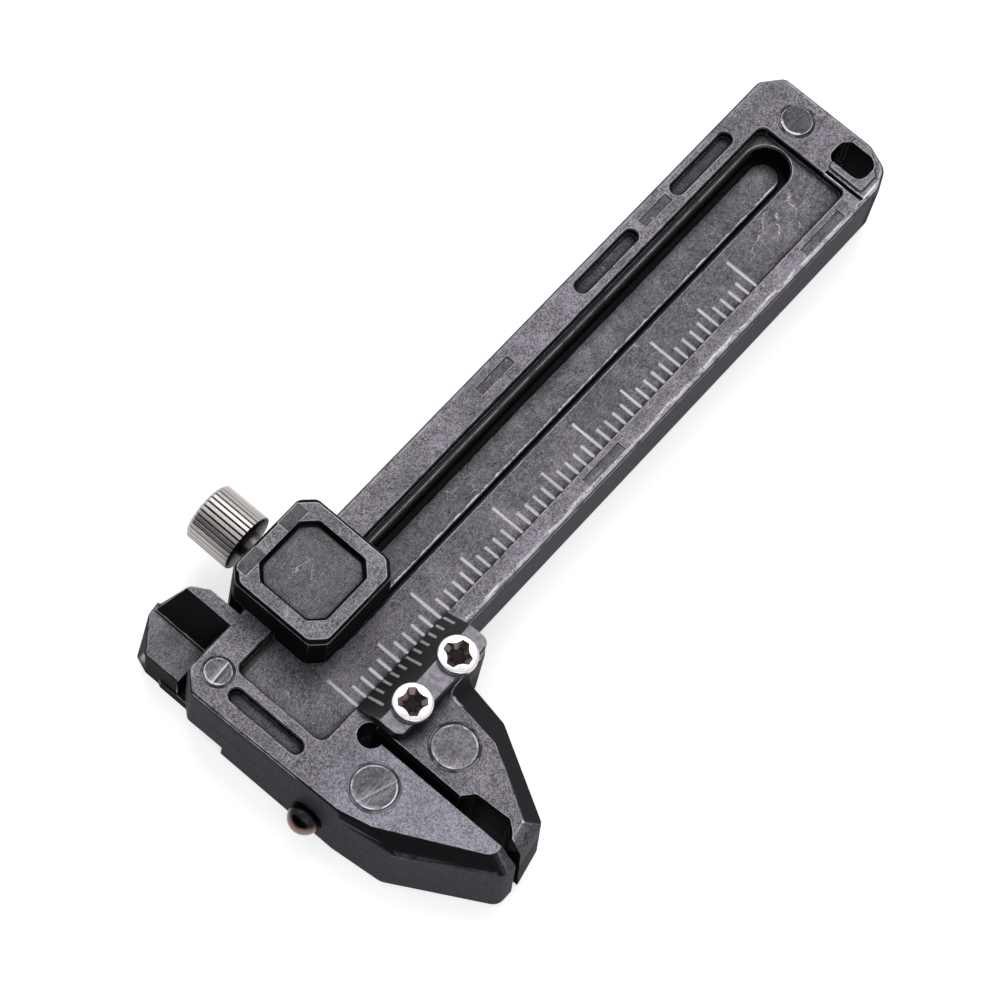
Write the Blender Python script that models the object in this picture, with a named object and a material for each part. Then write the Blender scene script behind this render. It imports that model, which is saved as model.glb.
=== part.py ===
"""Mini vernier caliper, 50 mm, with a lock screw, a square thumb pad and a bumper ball.

Frame: X runs along the beam, Y points to the thumb pad's side with the beam's centre line
at Y = 0, Z points out of the face, with the back at Z = 0. Sizes are in millimetres and count
X from scale zero; mesh_object turns them into metres and moves the origin to the middle of
the head's flat back. The jaws stand open by jaw_opening.
"""
import math

import bpy
import bmesh
from mathutils import Vector

MM = 0.001

# Driving dimensions: body
body_thick = 7.5            # back of the head to the top of the rims
beam_width = 13.9
beam_back_z = 1.6           # the beam's back lies above the head's back, for the slider's plate
beam_end_x = 66.5
parting_z = 4.0             # plane where the front and back castings meet
seam = 0.06                 # gap left between two castings that are pinned together
edge_round = 0.45           # rounding of the worn outer edges
press_gap = 0.05            # gap round a pressed-in post
head_left_x = -8.3
jaw_reach = 15.75           # how far the outside jaws stand out below the beam
tip_slope = 2.0             # how far back the sloping top of a jaw tip starts
jaw_bevel = 1.5             # height of the long bevel on the outside of each jaw
fixed_face_x = -1.44        # measuring face of the fixed outside jaw
notch_r = 1.1               # relief where the measuring face meets the beam
tip_round = 1.1             # rounding of the fixed jaw's tip, seen from above
pocket_depth = 0.8          # short slots in the upper rim and the slot in the head
pocket_width = 1.3
pocket_length = 7.6
pocket_starts = (27.5, 15.1)         # their left ends, from the beam's end
head_slot_length = 7.45
edge_break = 0.1            # small chamfer on the edges of the recesses
shallow_depth = 0.08        # shallow casting marks on the rims
shallow_width = 0.85
upper_shallow = ((39.9, 35.9), (19.1, 15.6))   # from the beam's end
lower_shallow = ((40.1, 35.6), (11.9, 6.8))
lanyard_size = (2.6, 3.6)
lanyard_round = 0.9
ridge_width = 0.6           # raised ridge round the lanyard hole
ridge_height = 0.22
groove_depth = 0.35

# Driving dimensions: scale field and slot
field_depth = 0.9
field_left_x = -4.43
field_right_x = 61.57
rim_lower = 1.98            # width of the rim on the scale's side
rim_upper = 2.85            # width of the rim under the thumb pad
slot_width = 4.05
slot_left_x = 1.0
slot_right_x = 61.15
slot_from_rim = 0.65        # ledge between the upper rim's wall and the slot
rib_width = 2.7
rib_shift = 0.08            # the rib lies a little off the slot's middle, towards the rim
rib_rise = 0.6              # rib of the back casting, seen down in the slot
scale_length = 50.0
mark_width = 0.25
mark_depth = 0.08
mark_lengths = (3.2, 2.3, 1.48)      # every ten, every five, and the rest

# Driving dimensions: knife jaws
knife_x = -4.1              # the fixed knife edge
knife_top_y = 13.0          # how far the knife tips stand out, from the centre line
knife_plane_z = 4.6         # flat back of the fixed knife
knife_gap = 0.2
knife_land = 1.15           # flat strip on top of the fixed knife
knife_side_x = -0.65
knife_round = 0.35          # rounding of the moving knife's corners

# Driving dimensions: slider
jaw_opening = 0.75          # the reading in the modelled pose
slide_gap = 0.15            # running clearance of the slider on the beam
plate_thick = 1.2
key_length = 6.0
gib_length = 7.45
gib_thick = 0.35
floor_gap = 0.2             # the slider's back clears what the head rests on
pad_size = 9.75
pad_left_x = -0.15
pad_top_z = 10.8
pad_chamfer = 1.1
pad_recess = 6.85
pad_recess_depth = 0.5
dimple_size = (2.4, 1.35, 0.12)        # two shallow recesses, open at the pad's edge
pad_draft = 0.2
pad_edge = 0.28             # chamfer round the pad's top
side_wall = 2.3             # wall beside the beam that holds the lock screw
slider_left_x = -0.6
slider_right_x = 10.3
seat_width = 2.35           # slider wall on the scale's side, under the vernier plate
moving_jaw_width = 8.15
moving_tip_drop = 0.8       # height lost over the sloping top of the moving jaw's tip
face_break = 0.25           # chamfer on top of the moving jaw's face
vernier_low_z = 7.65
vernier_top_z = 9.0
vernier_overhang = 2.1      # how far the sloping face reaches over the lower rim
vernier_pitch = 0.9
vernier_flat = 2.2
vernier_face = 0.08         # thickness of the plate's sloping face at its low edge
vernier_mark_lengths = (1.5, 1.1, 0.8)    # first and middle, last, and the rest
corner_round = 0.9

# Driving dimensions: fasteners and small pieces
screw_head_r = 1.68
screw_spacing = 5.4
screw_first_x = 2.2
screw_shank_r = 0.8
cross_reach = 1.3           # arms of the cross recess, at the top of the dome
cross_width = 0.5
lock_r = 2.6
lock_length = 4.5
lock_z = 5.55
lock_neck_r = 1.2
lock_neck_gap = 1.5
lock_bore_gap = 0.1
knurl_count = 40
knurl_depth = 0.14
ball_r = 1.4
jaw_post_r = 2.0
head_post_r = 1.25
tail_post_r = 1.5
post_rise = 0.06            # how far the posts' heads stand above the face
post_edge = 0.12            # chamfer on their rims
moving_post_inset = 2.95    # the moving jaw's post, from its measuring face

# Derived places
half = beam_width / 2
origin_x = head_left_x + 3.8
rim_top_z = body_thick
field_z = body_thick - field_depth
tip_y = -half - jaw_reach
moving_face_x = fixed_face_x + jaw_opening
field_low_y = -half + rim_lower
field_high_y = half - rim_upper
slot_y = field_high_y - slot_from_rim - slot_width / 2
plate_top_z = floor_gap + plate_thick
pad_x = pad_left_x + pad_size / 2
side_in_y = half + slide_gap
side_out_y = side_in_y + side_wall
pad_high_y = side_out_y - pad_draft * 0.75
seat_in_y = -half - slide_gap - 0.1
seat_out_y = seat_in_y - seat_width
jaw_post_xy = (-4.48, -half - 3.35)
moving_post_xy = (moving_face_x + moving_post_inset, -half - 5.8)
head_post_xy = (head_left_x + 2.77, half - 2.05)
tail_post_xy = (beam_end_x - 2.64, half - 4.75)
ball_xyz = (head_left_x - 0.2, -half - 0.15, 2.7)
screw_y = seat_in_y - screw_shank_r - 0.25
lanyard_xy = (beam_end_x - 2.35, -half + 3.35)
notch_y = -half - notch_r + 0.75
upper_rim_y = half - 1.42
rib_y = slot_y + rib_shift


def clear_scene():
    for old in list(bpy.data.objects):
        bpy.data.objects.remove(old, do_unlink=True)


def material(name, colour, roughness, metallic):
    mat = bpy.data.materials.new(name)
    mat.use_nodes = True
    shader = mat.node_tree.nodes["Principled BSDF"]
    shader.inputs["Base Color"].default_value = (*colour, 1.0)
    shader.inputs["Roughness"].default_value = roughness
    shader.inputs["Metallic"].default_value = metallic
    return mat


def mesh_object(name, verts, faces, mat=None, origin=(0, 0, 0)):
    """A closed mesh from millimetre points, with its origin at the given place."""
    mesh = bpy.data.meshes.new(name)
    shift = Vector(origin)
    mesh.from_pydata([(Vector(v) - shift) * MM for v in verts], [], faces)
    work = bmesh.new()
    work.from_mesh(mesh)
    bmesh.ops.recalc_face_normals(work, faces=work.faces)
    work.to_mesh(mesh)
    work.free()
    mesh.shade_smooth()
    mesh.set_sharp_from_angle(angle=math.radians(32))
    obj = bpy.data.objects.new(name, mesh)
    obj.location = (shift - Vector((origin_x, 0, 0))) * MM
    if mat:
        mesh.materials.append(mat)
    bpy.context.scene.collection.objects.link(obj)
    return obj


def rounded(corners):
    """Outline from corners (x, y, radius, steps): each corner becomes an arc of steps + 1 points."""
    points = []
    count = len(corners)
    for i, (x, y, radius, steps) in enumerate(corners):
        if steps == 0:
            points.append((x, y))
            continue
        here = Vector((x, y))
        back = (Vector(corners[i - 1][:2]) - here).normalized()
        ahead = (Vector(corners[(i + 1) % count][:2]) - here).normalized()
        turn = back.angle(ahead)
        reach = radius / math.tan(turn / 2)
        middle = here + (back + ahead).normalized() * (radius / math.sin(turn / 2))
        start = here + back * reach - middle
        sweep = math.pi - turn
        if back.x * ahead.y - back.y * ahead.x > 0:
            sweep = -sweep
        for k in range(steps + 1):
            a = sweep * k / steps
            spoke = (start.x * math.cos(a) - start.y * math.sin(a),
                     start.x * math.sin(a) + start.y * math.cos(a))
            points.append((middle.x + spoke[0], middle.y + spoke[1]))
    return points


def loft_mesh(rings):
    """Points and faces of a solid through rings that have the same number of points."""
    count = len(rings[0])
    verts = [p for ring in rings for p in ring]
    faces = [list(range(count))[::-1], [len(verts) - count + k for k in range(count)]]
    for r in range(len(rings) - 1):
        for k in range(count):
            n = (k + 1) % count
            a = r * count
            faces.append([a + k, a + n, a + count + n, a + count + k])
    return verts, faces


def loft(name, rings, mat=None, origin=(0, 0, 0)):
    return mesh_object(name, *loft_mesh(rings), mat, origin)


def flat_ring(outline, z):
    return [(x, y, z) for x, y in outline]


def prism_mesh(outline, z0, z1):
    return loft_mesh([flat_ring(outline, z0), flat_ring(outline, z1)])


def rectangle(x0, x1, y0, y1, radius=0.0, steps=0):
    return rounded([(x0, y0, radius, steps), (x1, y0, radius, steps),
                    (x1, y1, radius, steps), (x0, y1, radius, steps)])


def circle(x, y, radius, steps=32):
    return [(x + radius * math.cos(2 * math.pi * k / steps),
             y + radius * math.sin(2 * math.pi * k / steps)) for k in range(steps)]


def box_mesh(x0, x1, y0, y1, z0, z1):
    return prism_mesh(rectangle(x0, x1, y0, y1), z0, z1)


def along_y(outline_xz, y0, y1):
    """A solid whose outline lies in X and Z and which runs along Y."""
    return loft_mesh([[(x, y, z) for x, z in outline_xz] for y in (y0, y1)])


def along_x(outline_yz, x0, x1):
    """A solid whose outline lies in Y and Z and which runs along X."""
    return loft_mesh([[(x, y, z) for y, z in outline_yz] for x in (x0, x1)])


def merge(meshes):
    verts, faces = [], []
    for part_verts, part_faces in meshes:
        base = len(verts)
        verts += part_verts
        faces += [[base + i for i in face] for face in part_faces]
    return verts, faces


def boolean(target, meshes, operation, tag):
    """Joins or cuts the given closed meshes, kept as one hidden wire object."""
    tool = mesh_object(f"{target.name}_{tag}", *merge(meshes))
    tool.hide_render = True
    tool.display_type = "WIRE"
    step = target.modifiers.new(tag, "BOOLEAN")
    step.operation = operation
    step.solver = "EXACT"
    step.object = tool


def cut(target, meshes, tag="cut"):
    boolean(target, meshes, "DIFFERENCE", tag)


def join(target, meshes, tag="add"):
    boolean(target, meshes, "UNION", tag)


def turned(profile, steps=32):
    """Rings of a round solid about Z from (radius, z) pairs."""
    return [flat_ring(circle(0, 0, radius, steps), z) for radius, z in profile]


def edge_rings(base, top, mid_z, top_z, roundness):
    """Rings from the side wall over the edge to the top face.

    base and top are matching outlines, mid_z gives the height where each point leaves the
    wall, and roundness is 1 for a rounded edge and 0 for a straight bevel.
    """
    rings = []
    for t in (0.0, 0.35, 0.7, 1.0):
        ring = []
        for b, u, z, q in zip(base, top, mid_z, roundness):
            a = t * math.pi / 2
            inward = (1 - math.cos(a)) * q + t * (1 - q)
            upward = math.sin(a) * q + t * (1 - q)
            ring.append((b[0] + (u[0] - b[0]) * inward, b[1] + (u[1] - b[1]) * inward,
                         z + (top_z - z) * upward))
        rings.append(ring)
    return rings


def spread(corners, values):
    """Repeats each corner's value for every point of its arc."""
    return [v for (x, y, radius, steps), v in zip(corners, values) for k in range(steps + 1)]


def slot_outline(x0, x1, y0, y1, steps=8):
    return rectangle(x0, x1, y0, y1, min(x1 - x0, y1 - y0) / 2 - 0.001, steps)


def frame_corners():
    """Corners of the fixed frame.

    Each one is: place at the foot of the wall, how far the wall leans in on its way up to the
    bevel, place on the top face, height of the bevel's foot, roundness, radius, steps.
    """
    wall_z = rim_top_z - edge_round
    bevel_z = rim_top_z - jaw_bevel
    e = edge_round * 0.9
    left = head_left_x
    end = beam_end_x
    tip = tip_y + tip_slope
    upright = (0, 0)
    return [
        ((fixed_face_x, tip_y), (0, 0.37), (fixed_face_x, tip), bevel_z, 0, 0.0, 0),
        ((fixed_face_x, -half), upright, (fixed_face_x, -half + e), wall_z, 1, 0.0, 0),
        ((end - 2.9, -half), upright, (end - 2.9 - e * 0.3, -half + e), wall_z, 1, 1.2, 3),
        ((end - 0.9, -half + 0.9), upright, (end - 0.9 - e * 0.7, -half + 0.9 + e * 0.7), wall_z, 1, 1.2, 3),
        ((end, -half + 3.1), upright, (end - e, -half + 3.1 + e * 0.3), wall_z, 1, 1.2, 3),
        ((end, half - 1.5), upright, (end - e, half - 1.5 - e * 0.3), wall_z, 1, 0.8, 4),
        ((end - 1.9, half), upright, (end - 1.9 - e * 0.3, half - e), wall_z, 1, 0.8, 4),
        ((left + 1.5, half), upright, (left + 1.65, half - e), wall_z, 1, 0.6, 2),
        ((left, half - 1.6), upright, (left + e, half - 1.75), wall_z, 1, 0.6, 2),
        ((left, -half - 3.0), (0.3, 0.1), (left + 0.6, -half - 2.4), bevel_z, 0.6, 1.5, 4),
        ((left + 0.5, -half - 7.6), (0.6, -0.25), (left + 1.35, -half - 5.3), bevel_z, 0, 1.5, 4),
        ((-3.05, tip_y), (0.31, 0.37), (-2.44, tip), bevel_z, 0, tip_round, 4),
    ]


def section(table, z):
    """Outline of a leaning wall at height z, from its table of corners."""
    corners = []
    for foot, lean, top, bevel_z, soft, radius, steps in table:
        share = min(z / bevel_z, 1.0)
        corners.append((foot[0] + lean[0] * share, foot[1] + lean[1] * share, radius, steps))
    return rounded(corners)


def casting_rings(table, low_z, top_z):
    """Rings of a casting's front half: up the leaning wall and over the top edge."""
    top = rounded([(*c[2], c[5], c[6]) for c in table])
    size = [(0, 0, c[5], c[6]) for c in table]
    shoulder = section(table, top_z)
    rings = edge_rings(shoulder, top, spread(size, [c[3] for c in table]), top_z,
                       spread(size, [c[4] for c in table]))
    return [flat_ring(section(table, low_z), low_z)] + rings


def nib_meshes():
    """The fixed knife: its long bevel runs from the flat strip on top down to the knife edge."""
    low = knife_plane_z
    root = half - 0.6
    strip_x = knife_side_x - knife_land
    right = knife_side_x - 0.15
    rise = knife_top_y - half
    base = rounded([(knife_x, root, 0, 0), (knife_x, knife_top_y, 0.2, 2),
                    (knife_x + 2.2, half + rise * 0.74, 0.8, 3),
                    (knife_side_x, half + rise * 0.52, 0.5, 3), (knife_side_x, root, 0, 0)])
    top = rounded([(strip_x - 0.15, root, 0, 0), (strip_x - 0.15, half + rise * 0.74, 0.05, 2),
                   (strip_x + 0.2, half + rise * 0.7, 0.1, 3),
                   (right, half + rise * 0.49, 0.3, 3), (right, root, 0, 0)])
    return [loft_mesh([flat_ring(base[::-1], low), flat_ring(top[::-1], rim_top_z - 0.001)])]


def scale_marks():
    """Grooves of the main scale: one each millimetre, longer at the fives and the tens."""
    marks = []
    for i in range(int(scale_length) + 1):
        length = mark_lengths[0 if i % 10 == 0 else 1 if i % 5 == 0 else 2]
        low = field_low_y + edge_break
        marks.append(box_mesh(i - mark_width / 2, i + mark_width / 2, low, low + length,
                              field_z - mark_depth, field_z + 0.3))
    return marks


def recess_mesh(outline_at, depth, top_z, foot=0.1):
    """Cutter for a recess with a small fillet at its foot and a small chamfer at its rim.

    outline_at gives the outline grown by a distance.
    """
    return loft_mesh([flat_ring(outline_at(grow), z) for grow, z in (
        (-foot, top_z - depth), (0.0, top_z - depth + foot), (0.0, top_z - edge_break),
        (edge_break, top_z), (edge_break, top_z + 1))])


def pocket(x0, x1, y0, y1, depth, top_z):
    return recess_mesh(lambda g: slot_outline(x0 - g, x1 + g, y0 - g, y1 + g, 6), depth, top_z)


def field_mesh():
    def outline(grow):
        return rectangle(field_left_x - grow, field_right_x + grow, field_low_y - grow,
                         field_high_y + grow, 0.7 + grow, 4)
    return recess_mesh(outline, field_depth, rim_top_z)


def slot_mesh():
    """The long slot, through the front casting, with its edge on the field broken."""
    def outline(grow):
        return slot_outline(slot_left_x - grow, slot_right_x + grow, slot_y - slot_width / 2 - grow,
                            slot_y + slot_width / 2 + grow, 10)
    return loft_mesh([flat_ring(outline(grow), z) for grow, z in (
        (0.0, parting_z - 1), (0.0, field_z - 0.15), (0.15, field_z), (0.15, field_z + 0.4))])


def shallow_mark(x0, x1, y):
    w = shallow_width / 2
    return box_mesh(x0, x1, y - w, y + w, rim_top_z - shallow_depth, rim_top_z + 1)


def front_frame(mat):
    obj = loft("front_frame", casting_rings(frame_corners(), parting_z + seam / 2, rim_top_z), mat)
    join(obj, nib_meshes(), "knife")
    join(obj, [lanyard_ridge()], "ridge")
    cut(obj, [field_mesh()], "field")
    holes = [slot_mesh(), lanyard_hole()]
    for (x, y), radius in ((jaw_post_xy, jaw_post_r), (head_post_xy, head_post_r),
                           (tail_post_xy, tail_post_r)):
        holes.append(prism_mesh(circle(x, y, radius + press_gap), parting_z - 1, rim_top_z + 1))
    w = pocket_width / 2
    for start in pocket_starts:
        x0 = beam_end_x - start
        holes.append(pocket(x0, x0 + pocket_length, upper_rim_y - w, upper_rim_y + w, pocket_depth,
                            rim_top_z))
    head_slot_x = head_left_x + 2.28
    head_slot_y = half - 3.75
    holes.append(pocket(head_slot_x - w, head_slot_x + w, head_slot_y - head_slot_length, head_slot_y,
                        pocket_depth, rim_top_z))
    cut(obj, holes, "holes")
    notch = prism_mesh(circle(fixed_face_x, notch_y, notch_r, 24), parting_z - 1, rim_top_z + 1)
    cut(obj, [notch, lanyard_groove()], "notch")
    shallow = [shallow_mark(beam_end_x - x0, beam_end_x - x1, y)
               for places, y in ((upper_shallow, upper_rim_y), (lower_shallow, -half + rim_lower / 2))
               for x0, x1 in places]
    cut(obj, shallow + scale_marks(), "marks")
    return obj


def lanyard_hole():
    x, y = lanyard_xy
    w, h = lanyard_size[0] / 2, lanyard_size[1] / 2
    return prism_mesh(rectangle(x - w, x + w, y - h, y + h, lanyard_round, 4), -1, rim_top_z + 1)


def lanyard_ridge():
    """Raised border on three sides of the lanyard hole; the hole is cut through it."""
    x, y = lanyard_xy
    x0, x1 = x - lanyard_size[0] / 2 - ridge_width, x + lanyard_size[0] / 2 + ridge_width
    y0, y1 = y - lanyard_size[1] / 2 - ridge_width, y + lanyard_size[1] / 2 - ridge_width
    outline = [(x0, y0), (x1 - 1.7, y0), (x1 - 0.1, y0 + 1.6), (x1 - 0.1, y1), (x0, y1)]
    low = rounded([(px, py, 0.3, 3) for px, py in outline])
    high = rounded([(px + math.copysign(0.12, x - px), py + math.copysign(0.12, y - py), 0.25, 3)
                    for px, py in outline])
    return loft_mesh([flat_ring(low, rim_top_z - 0.3), flat_ring(low, rim_top_z + ridge_height * 0.4),
                      flat_ring(high, rim_top_z + ridge_height)])


def lanyard_groove():
    """A narrow groove that carries the field's end wall across the lower rim."""
    return box_mesh(field_right_x + 0.1, field_right_x + 0.45, -half + 0.5, field_low_y + 2.4,
                    rim_top_z - groove_depth, rim_top_z + 1)


def back_frame(mat):
    table = frame_corners()
    top = parting_z - seam / 2
    foot_z = 0.35
    middle = (fixed_face_x, 0)
    inset = []
    for (x, y), lean, top_xy, bevel_z, soft, radius, steps in table:
        dx = 0.0 if x == fixed_face_x else math.copysign(0.3, middle[0] - x)
        dy = 0.0 if y == -half and x == fixed_face_x else math.copysign(0.3, middle[1] - y)
        inset.append((x + dx, y + dy, radius, steps))
    rings = [flat_ring(rounded(inset), 0), flat_ring(section(table, foot_z), foot_z),
             flat_ring(section(table, top), top)]
    obj = loft("back_frame", rings, mat)
    step_x = slider_left_x - jaw_opening - 0.2
    relief = box_mesh(step_x, beam_end_x + 1, -half - 1, half + 1, -1, beam_back_z)
    arm_low_y = half - 5.2
    arm = box_mesh(head_left_x - 1, step_x + 1, arm_low_y, half + 1, -1, beam_back_z)
    cut(obj, [relief], "relief")
    cut(obj, [arm], "arm")
    rib_low, rib_high = rib_y - rib_width / 2, rib_y + rib_width / 2
    x0, x1 = slot_left_x + 0.6, slot_right_x - 0.6
    rib = loft_mesh([flat_ring(slot_outline(x0 + g, x1 - g, rib_low + g, rib_high - g, 4), z)
                     for g, z in ((0.0, top - 0.3), (0.0, top + rib_rise - edge_break),
                                  (edge_break, top + rib_rise))])
    join(obj, [rib], "rib")
    foot = prism_mesh(circle(*tail_post_xy, tail_post_r + 0.9), 0, beam_back_z + 0.5)
    join(obj, [foot], "foot")
    holes = [prism_mesh(circle(x, y, radius + press_gap), -1, parting_z + 1)
             for (x, y), radius in ((jaw_post_xy, jaw_post_r), (head_post_xy, head_post_r),
                                    (tail_post_xy, tail_post_r))]
    holes.append(prism_mesh(circle(fixed_face_x, notch_y, notch_r, 24), -1, rim_top_z + 1))
    holes.append(lanyard_hole())
    holes.append(loft_mesh([[(x, ball_xyz[1] + dy, ball_xyz[2] + dz)
                             for dy, dz in circle(0, 0, ball_r + press_gap, 24)]
                            for x in (ball_xyz[0] - 3, ball_xyz[0] + ball_r + press_gap)]))
    cut(obj, holes, "holes")
    return obj


def post(name, xy, radius, z0, z1, mat):
    """A pressed post with chamfered rims and a slightly sunk middle."""
    c = post_edge
    profile = [(radius - c, z0), (radius, z0 + c), (radius, z1 - c), (radius - c, z1),
               (radius - c * 2, z1), (radius - c * 3, z1 - 0.02)]
    rings = turned(profile)
    rings = [[(x + xy[0], y + xy[1], z) for x, y, z in ring] for ring in rings]
    return loft(name, rings, mat, (xy[0], xy[1], z0))


def ball(mat):
    steps = 16
    rings = []
    for k in range(1, steps):
        a = math.pi * k / steps
        outline = circle(ball_xyz[0], ball_xyz[1], ball_r * math.sin(a), 32)
        rings.append(flat_ring(outline, ball_xyz[2] - ball_r * math.cos(a)))
    return loft("breaker_ball", rings, mat, ball_xyz)


def slider_back(mat):
    """The slider's back casting: plate behind the beam, arm with the moving knife, lower jaw half."""
    low = floor_gap
    top = plate_top_z
    x0, x1 = slider_left_x, slider_right_x
    plate = rounded([(x0, seat_out_y, 0.6, 3), (x1, seat_out_y, 1.0, 4), (x1, side_out_y, 1.0, 4),
                     (x0, side_out_y, 0.0, 0)])
    obj = loft("slider_back", [flat_ring(plate, low), flat_ring(plate, top)], mat)
    shift = jaw_opening
    blade_x = head_left_x + 0.2 + shift
    arm = rectangle(blade_x, x0 + 0.5, half - 4.9, side_out_y, 0.4, 2)
    join(obj, [prism_mesh(arm, low, top)], "arm")
    edge_x = knife_x + shift
    root = side_in_y + 0.25
    blade_z = knife_plane_z - knife_gap

    def blade(left, right, tip, heel, inset):
        r = knife_round
        return rounded([(left + inset, root, 0, 0), (right, root, 0, 0), (right, tip - inset, r / 3, 2),
                        (right - 1.3, tip - 0.15 - inset, r, 3), (left + inset, heel - inset, r, 3)])

    wide = (blade_x, edge_x, knife_top_y, knife_top_y - 2.2)
    narrow = (blade_x + 0.15, edge_x - 2.0, knife_top_y - 0.7, knife_top_y - 2.3)
    rings = [flat_ring(blade(*narrow, 0.0), low + 0.001), flat_ring(blade(*wide, 0.0), blade_z - edge_break),
             flat_ring(blade(*wide, edge_break), blade_z)]
    join(obj, [loft_mesh(rings)], "knife")
    jaw_top = parting_z - seam / 2
    jaw = loft_mesh([flat_ring(section(jaw_corners(), z), z) for z in (low + 0.002, jaw_top)])
    join(obj, [jaw], "jaw")
    holes = [prism_mesh(circle(*moving_post_xy, jaw_post_r + press_gap), -1, parting_z + 1)]
    for x in (screw_first_x, screw_first_x + screw_spacing):
        holes.append(prism_mesh(circle(x, screw_y, screw_shank_r + press_gap, 16), parting_z - 1.6,
                                parting_z + 1))
    for x, y in cap_screw_places():
        holes.append(cap_screw_hole(x, y))
    cut(obj, holes, "holes")
    return obj


def cap_screw_places():
    y = side_out_y - 1.0
    return [(pad_x - 3.4, y), (pad_x + 3.4, y)]


def cap_screw_hole(x, y):
    """Countersunk clearance hole in the slider's back plate."""
    low = floor_gap
    return loft_mesh([flat_ring(circle(x, y, r, 20), z)
                      for r, z in ((1.25, low - 0.5), (1.25, low + 0.12), (0.65, low + 0.72), (0.65, 6))])


def cap_screw(name, x, y, mat):
    """Countersunk screw that holds the pad's housing to the back plate."""
    low = floor_gap
    g = 0.06
    profile = [(1.25 - g, low + 0.05), (1.25 - g, low + 0.12), (0.65 - g, low + 0.72), (0.65 - g, low + 4.2)]
    rings = [[(px + x, py + y, z) for px, py, z in ring] for ring in turned(profile, 20)]
    obj = loft(name, rings, mat, (x, y, low))
    w = 0.12
    cross = [box_mesh(x - 0.75, x + 0.75, y - w, y + w, low - 1, low + 0.35),
             box_mesh(x - w, x + w, y - 0.75, y + 0.75, low - 1, low + 0.36)]
    cut(obj, cross[:1], "cross_a")
    cut(obj, cross[1:], "cross_b")
    return obj


def jaw_corners():
    """Corners of the moving outside jaw, in the same form as frame_corners."""
    bevel_z = rim_top_z - jaw_bevel
    wall_z = rim_top_z - 0.3
    face = moving_face_x
    wide = face + moving_jaw_width
    tip = tip_y + tip_slope
    upright = (0, 0)
    groove = face + 1.1
    tip_z = rim_top_z - moving_tip_drop
    edge = face + face_break
    return [
        ((face, tip_y), (0, 0.6), (edge, tip - 0.2), tip_z, 0, 0.0, 0),
        ((face + 3.45, tip_y + 0.75), (-0.45, 0.2), (face + 1.9, tip + 0.1), tip_z, 0, 0.7, 4),
        ((wide - 0.3, tip_y + 8.6), (-0.3, 0), (face + 5.3, tip_y + 7.8), bevel_z, 0, 1.2, 4),
        ((wide, seat_out_y - 2.3), (-0.2, 0), (face + 5.75, seat_out_y - 2.3), bevel_z, 0, 0.8, 3),
        ((wide + 0.2, seat_out_y), upright, (face + 5.85, seat_out_y), bevel_z, 0, 0.9, 4),
        ((slider_right_x, seat_out_y), upright, (slider_right_x - 0.3, seat_out_y + 0.3), wall_z,
         1, corner_round, 4),
        ((slider_right_x, seat_in_y), upright, (slider_right_x - 0.3, seat_in_y), wall_z, 1, 0.0, 0),
        ((face, seat_in_y), upright, (edge, seat_in_y), wall_z, 0, 0.0, 0),
        ((face, tip_y + 7.05), upright, (edge, tip_y + 7.05), wall_z, 0, 0.0, 0),
        ((groove, tip_y + 6.1), upright, (groove + 0.1, tip_y + 6.2), wall_z, 0, 0.3, 2),
        ((groove + 0.2, tip_y + 2.9), upright, (groove + 0.3, tip_y + 2.95), wall_z, 0, 0.3, 2),
        ((face, tip_y + 1.8), upright, (face + 0.7, tip_y + 2.1), tip_z, 0, 0.0, 0),
    ]


def moving_jaw_front(mat):
    obj = loft("moving_jaw_front", casting_rings(jaw_corners(), parting_z + seam / 2, rim_top_z), mat)
    holes = [prism_mesh(circle(*moving_post_xy, jaw_post_r + press_gap), 0, rim_top_z + 1)]
    for x in (screw_first_x, screw_first_x + screw_spacing):
        holes.append(prism_mesh(circle(x, screw_y, screw_shank_r + press_gap, 16), 0, rim_top_z + 1))
    cut(obj, holes, "holes")
    return obj


def corner_cutter(x, y, side, z0, z1, steps=5):
    """Cutter that rounds an upright corner at (x, y), on the -Y side; side is -1 for the left one."""
    r = corner_round
    outline = [(x + side, y - 1), (x + side, y + r)]
    for k in range(steps + 1):
        a = math.pi / 2 * k / steps
        outline.append((x - side * r * (1 - math.cos(a)), y + r * (1 - math.sin(a))))
    outline.append((x - side * r, y - 1))
    return prism_mesh(outline, z0, z1)


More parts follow.
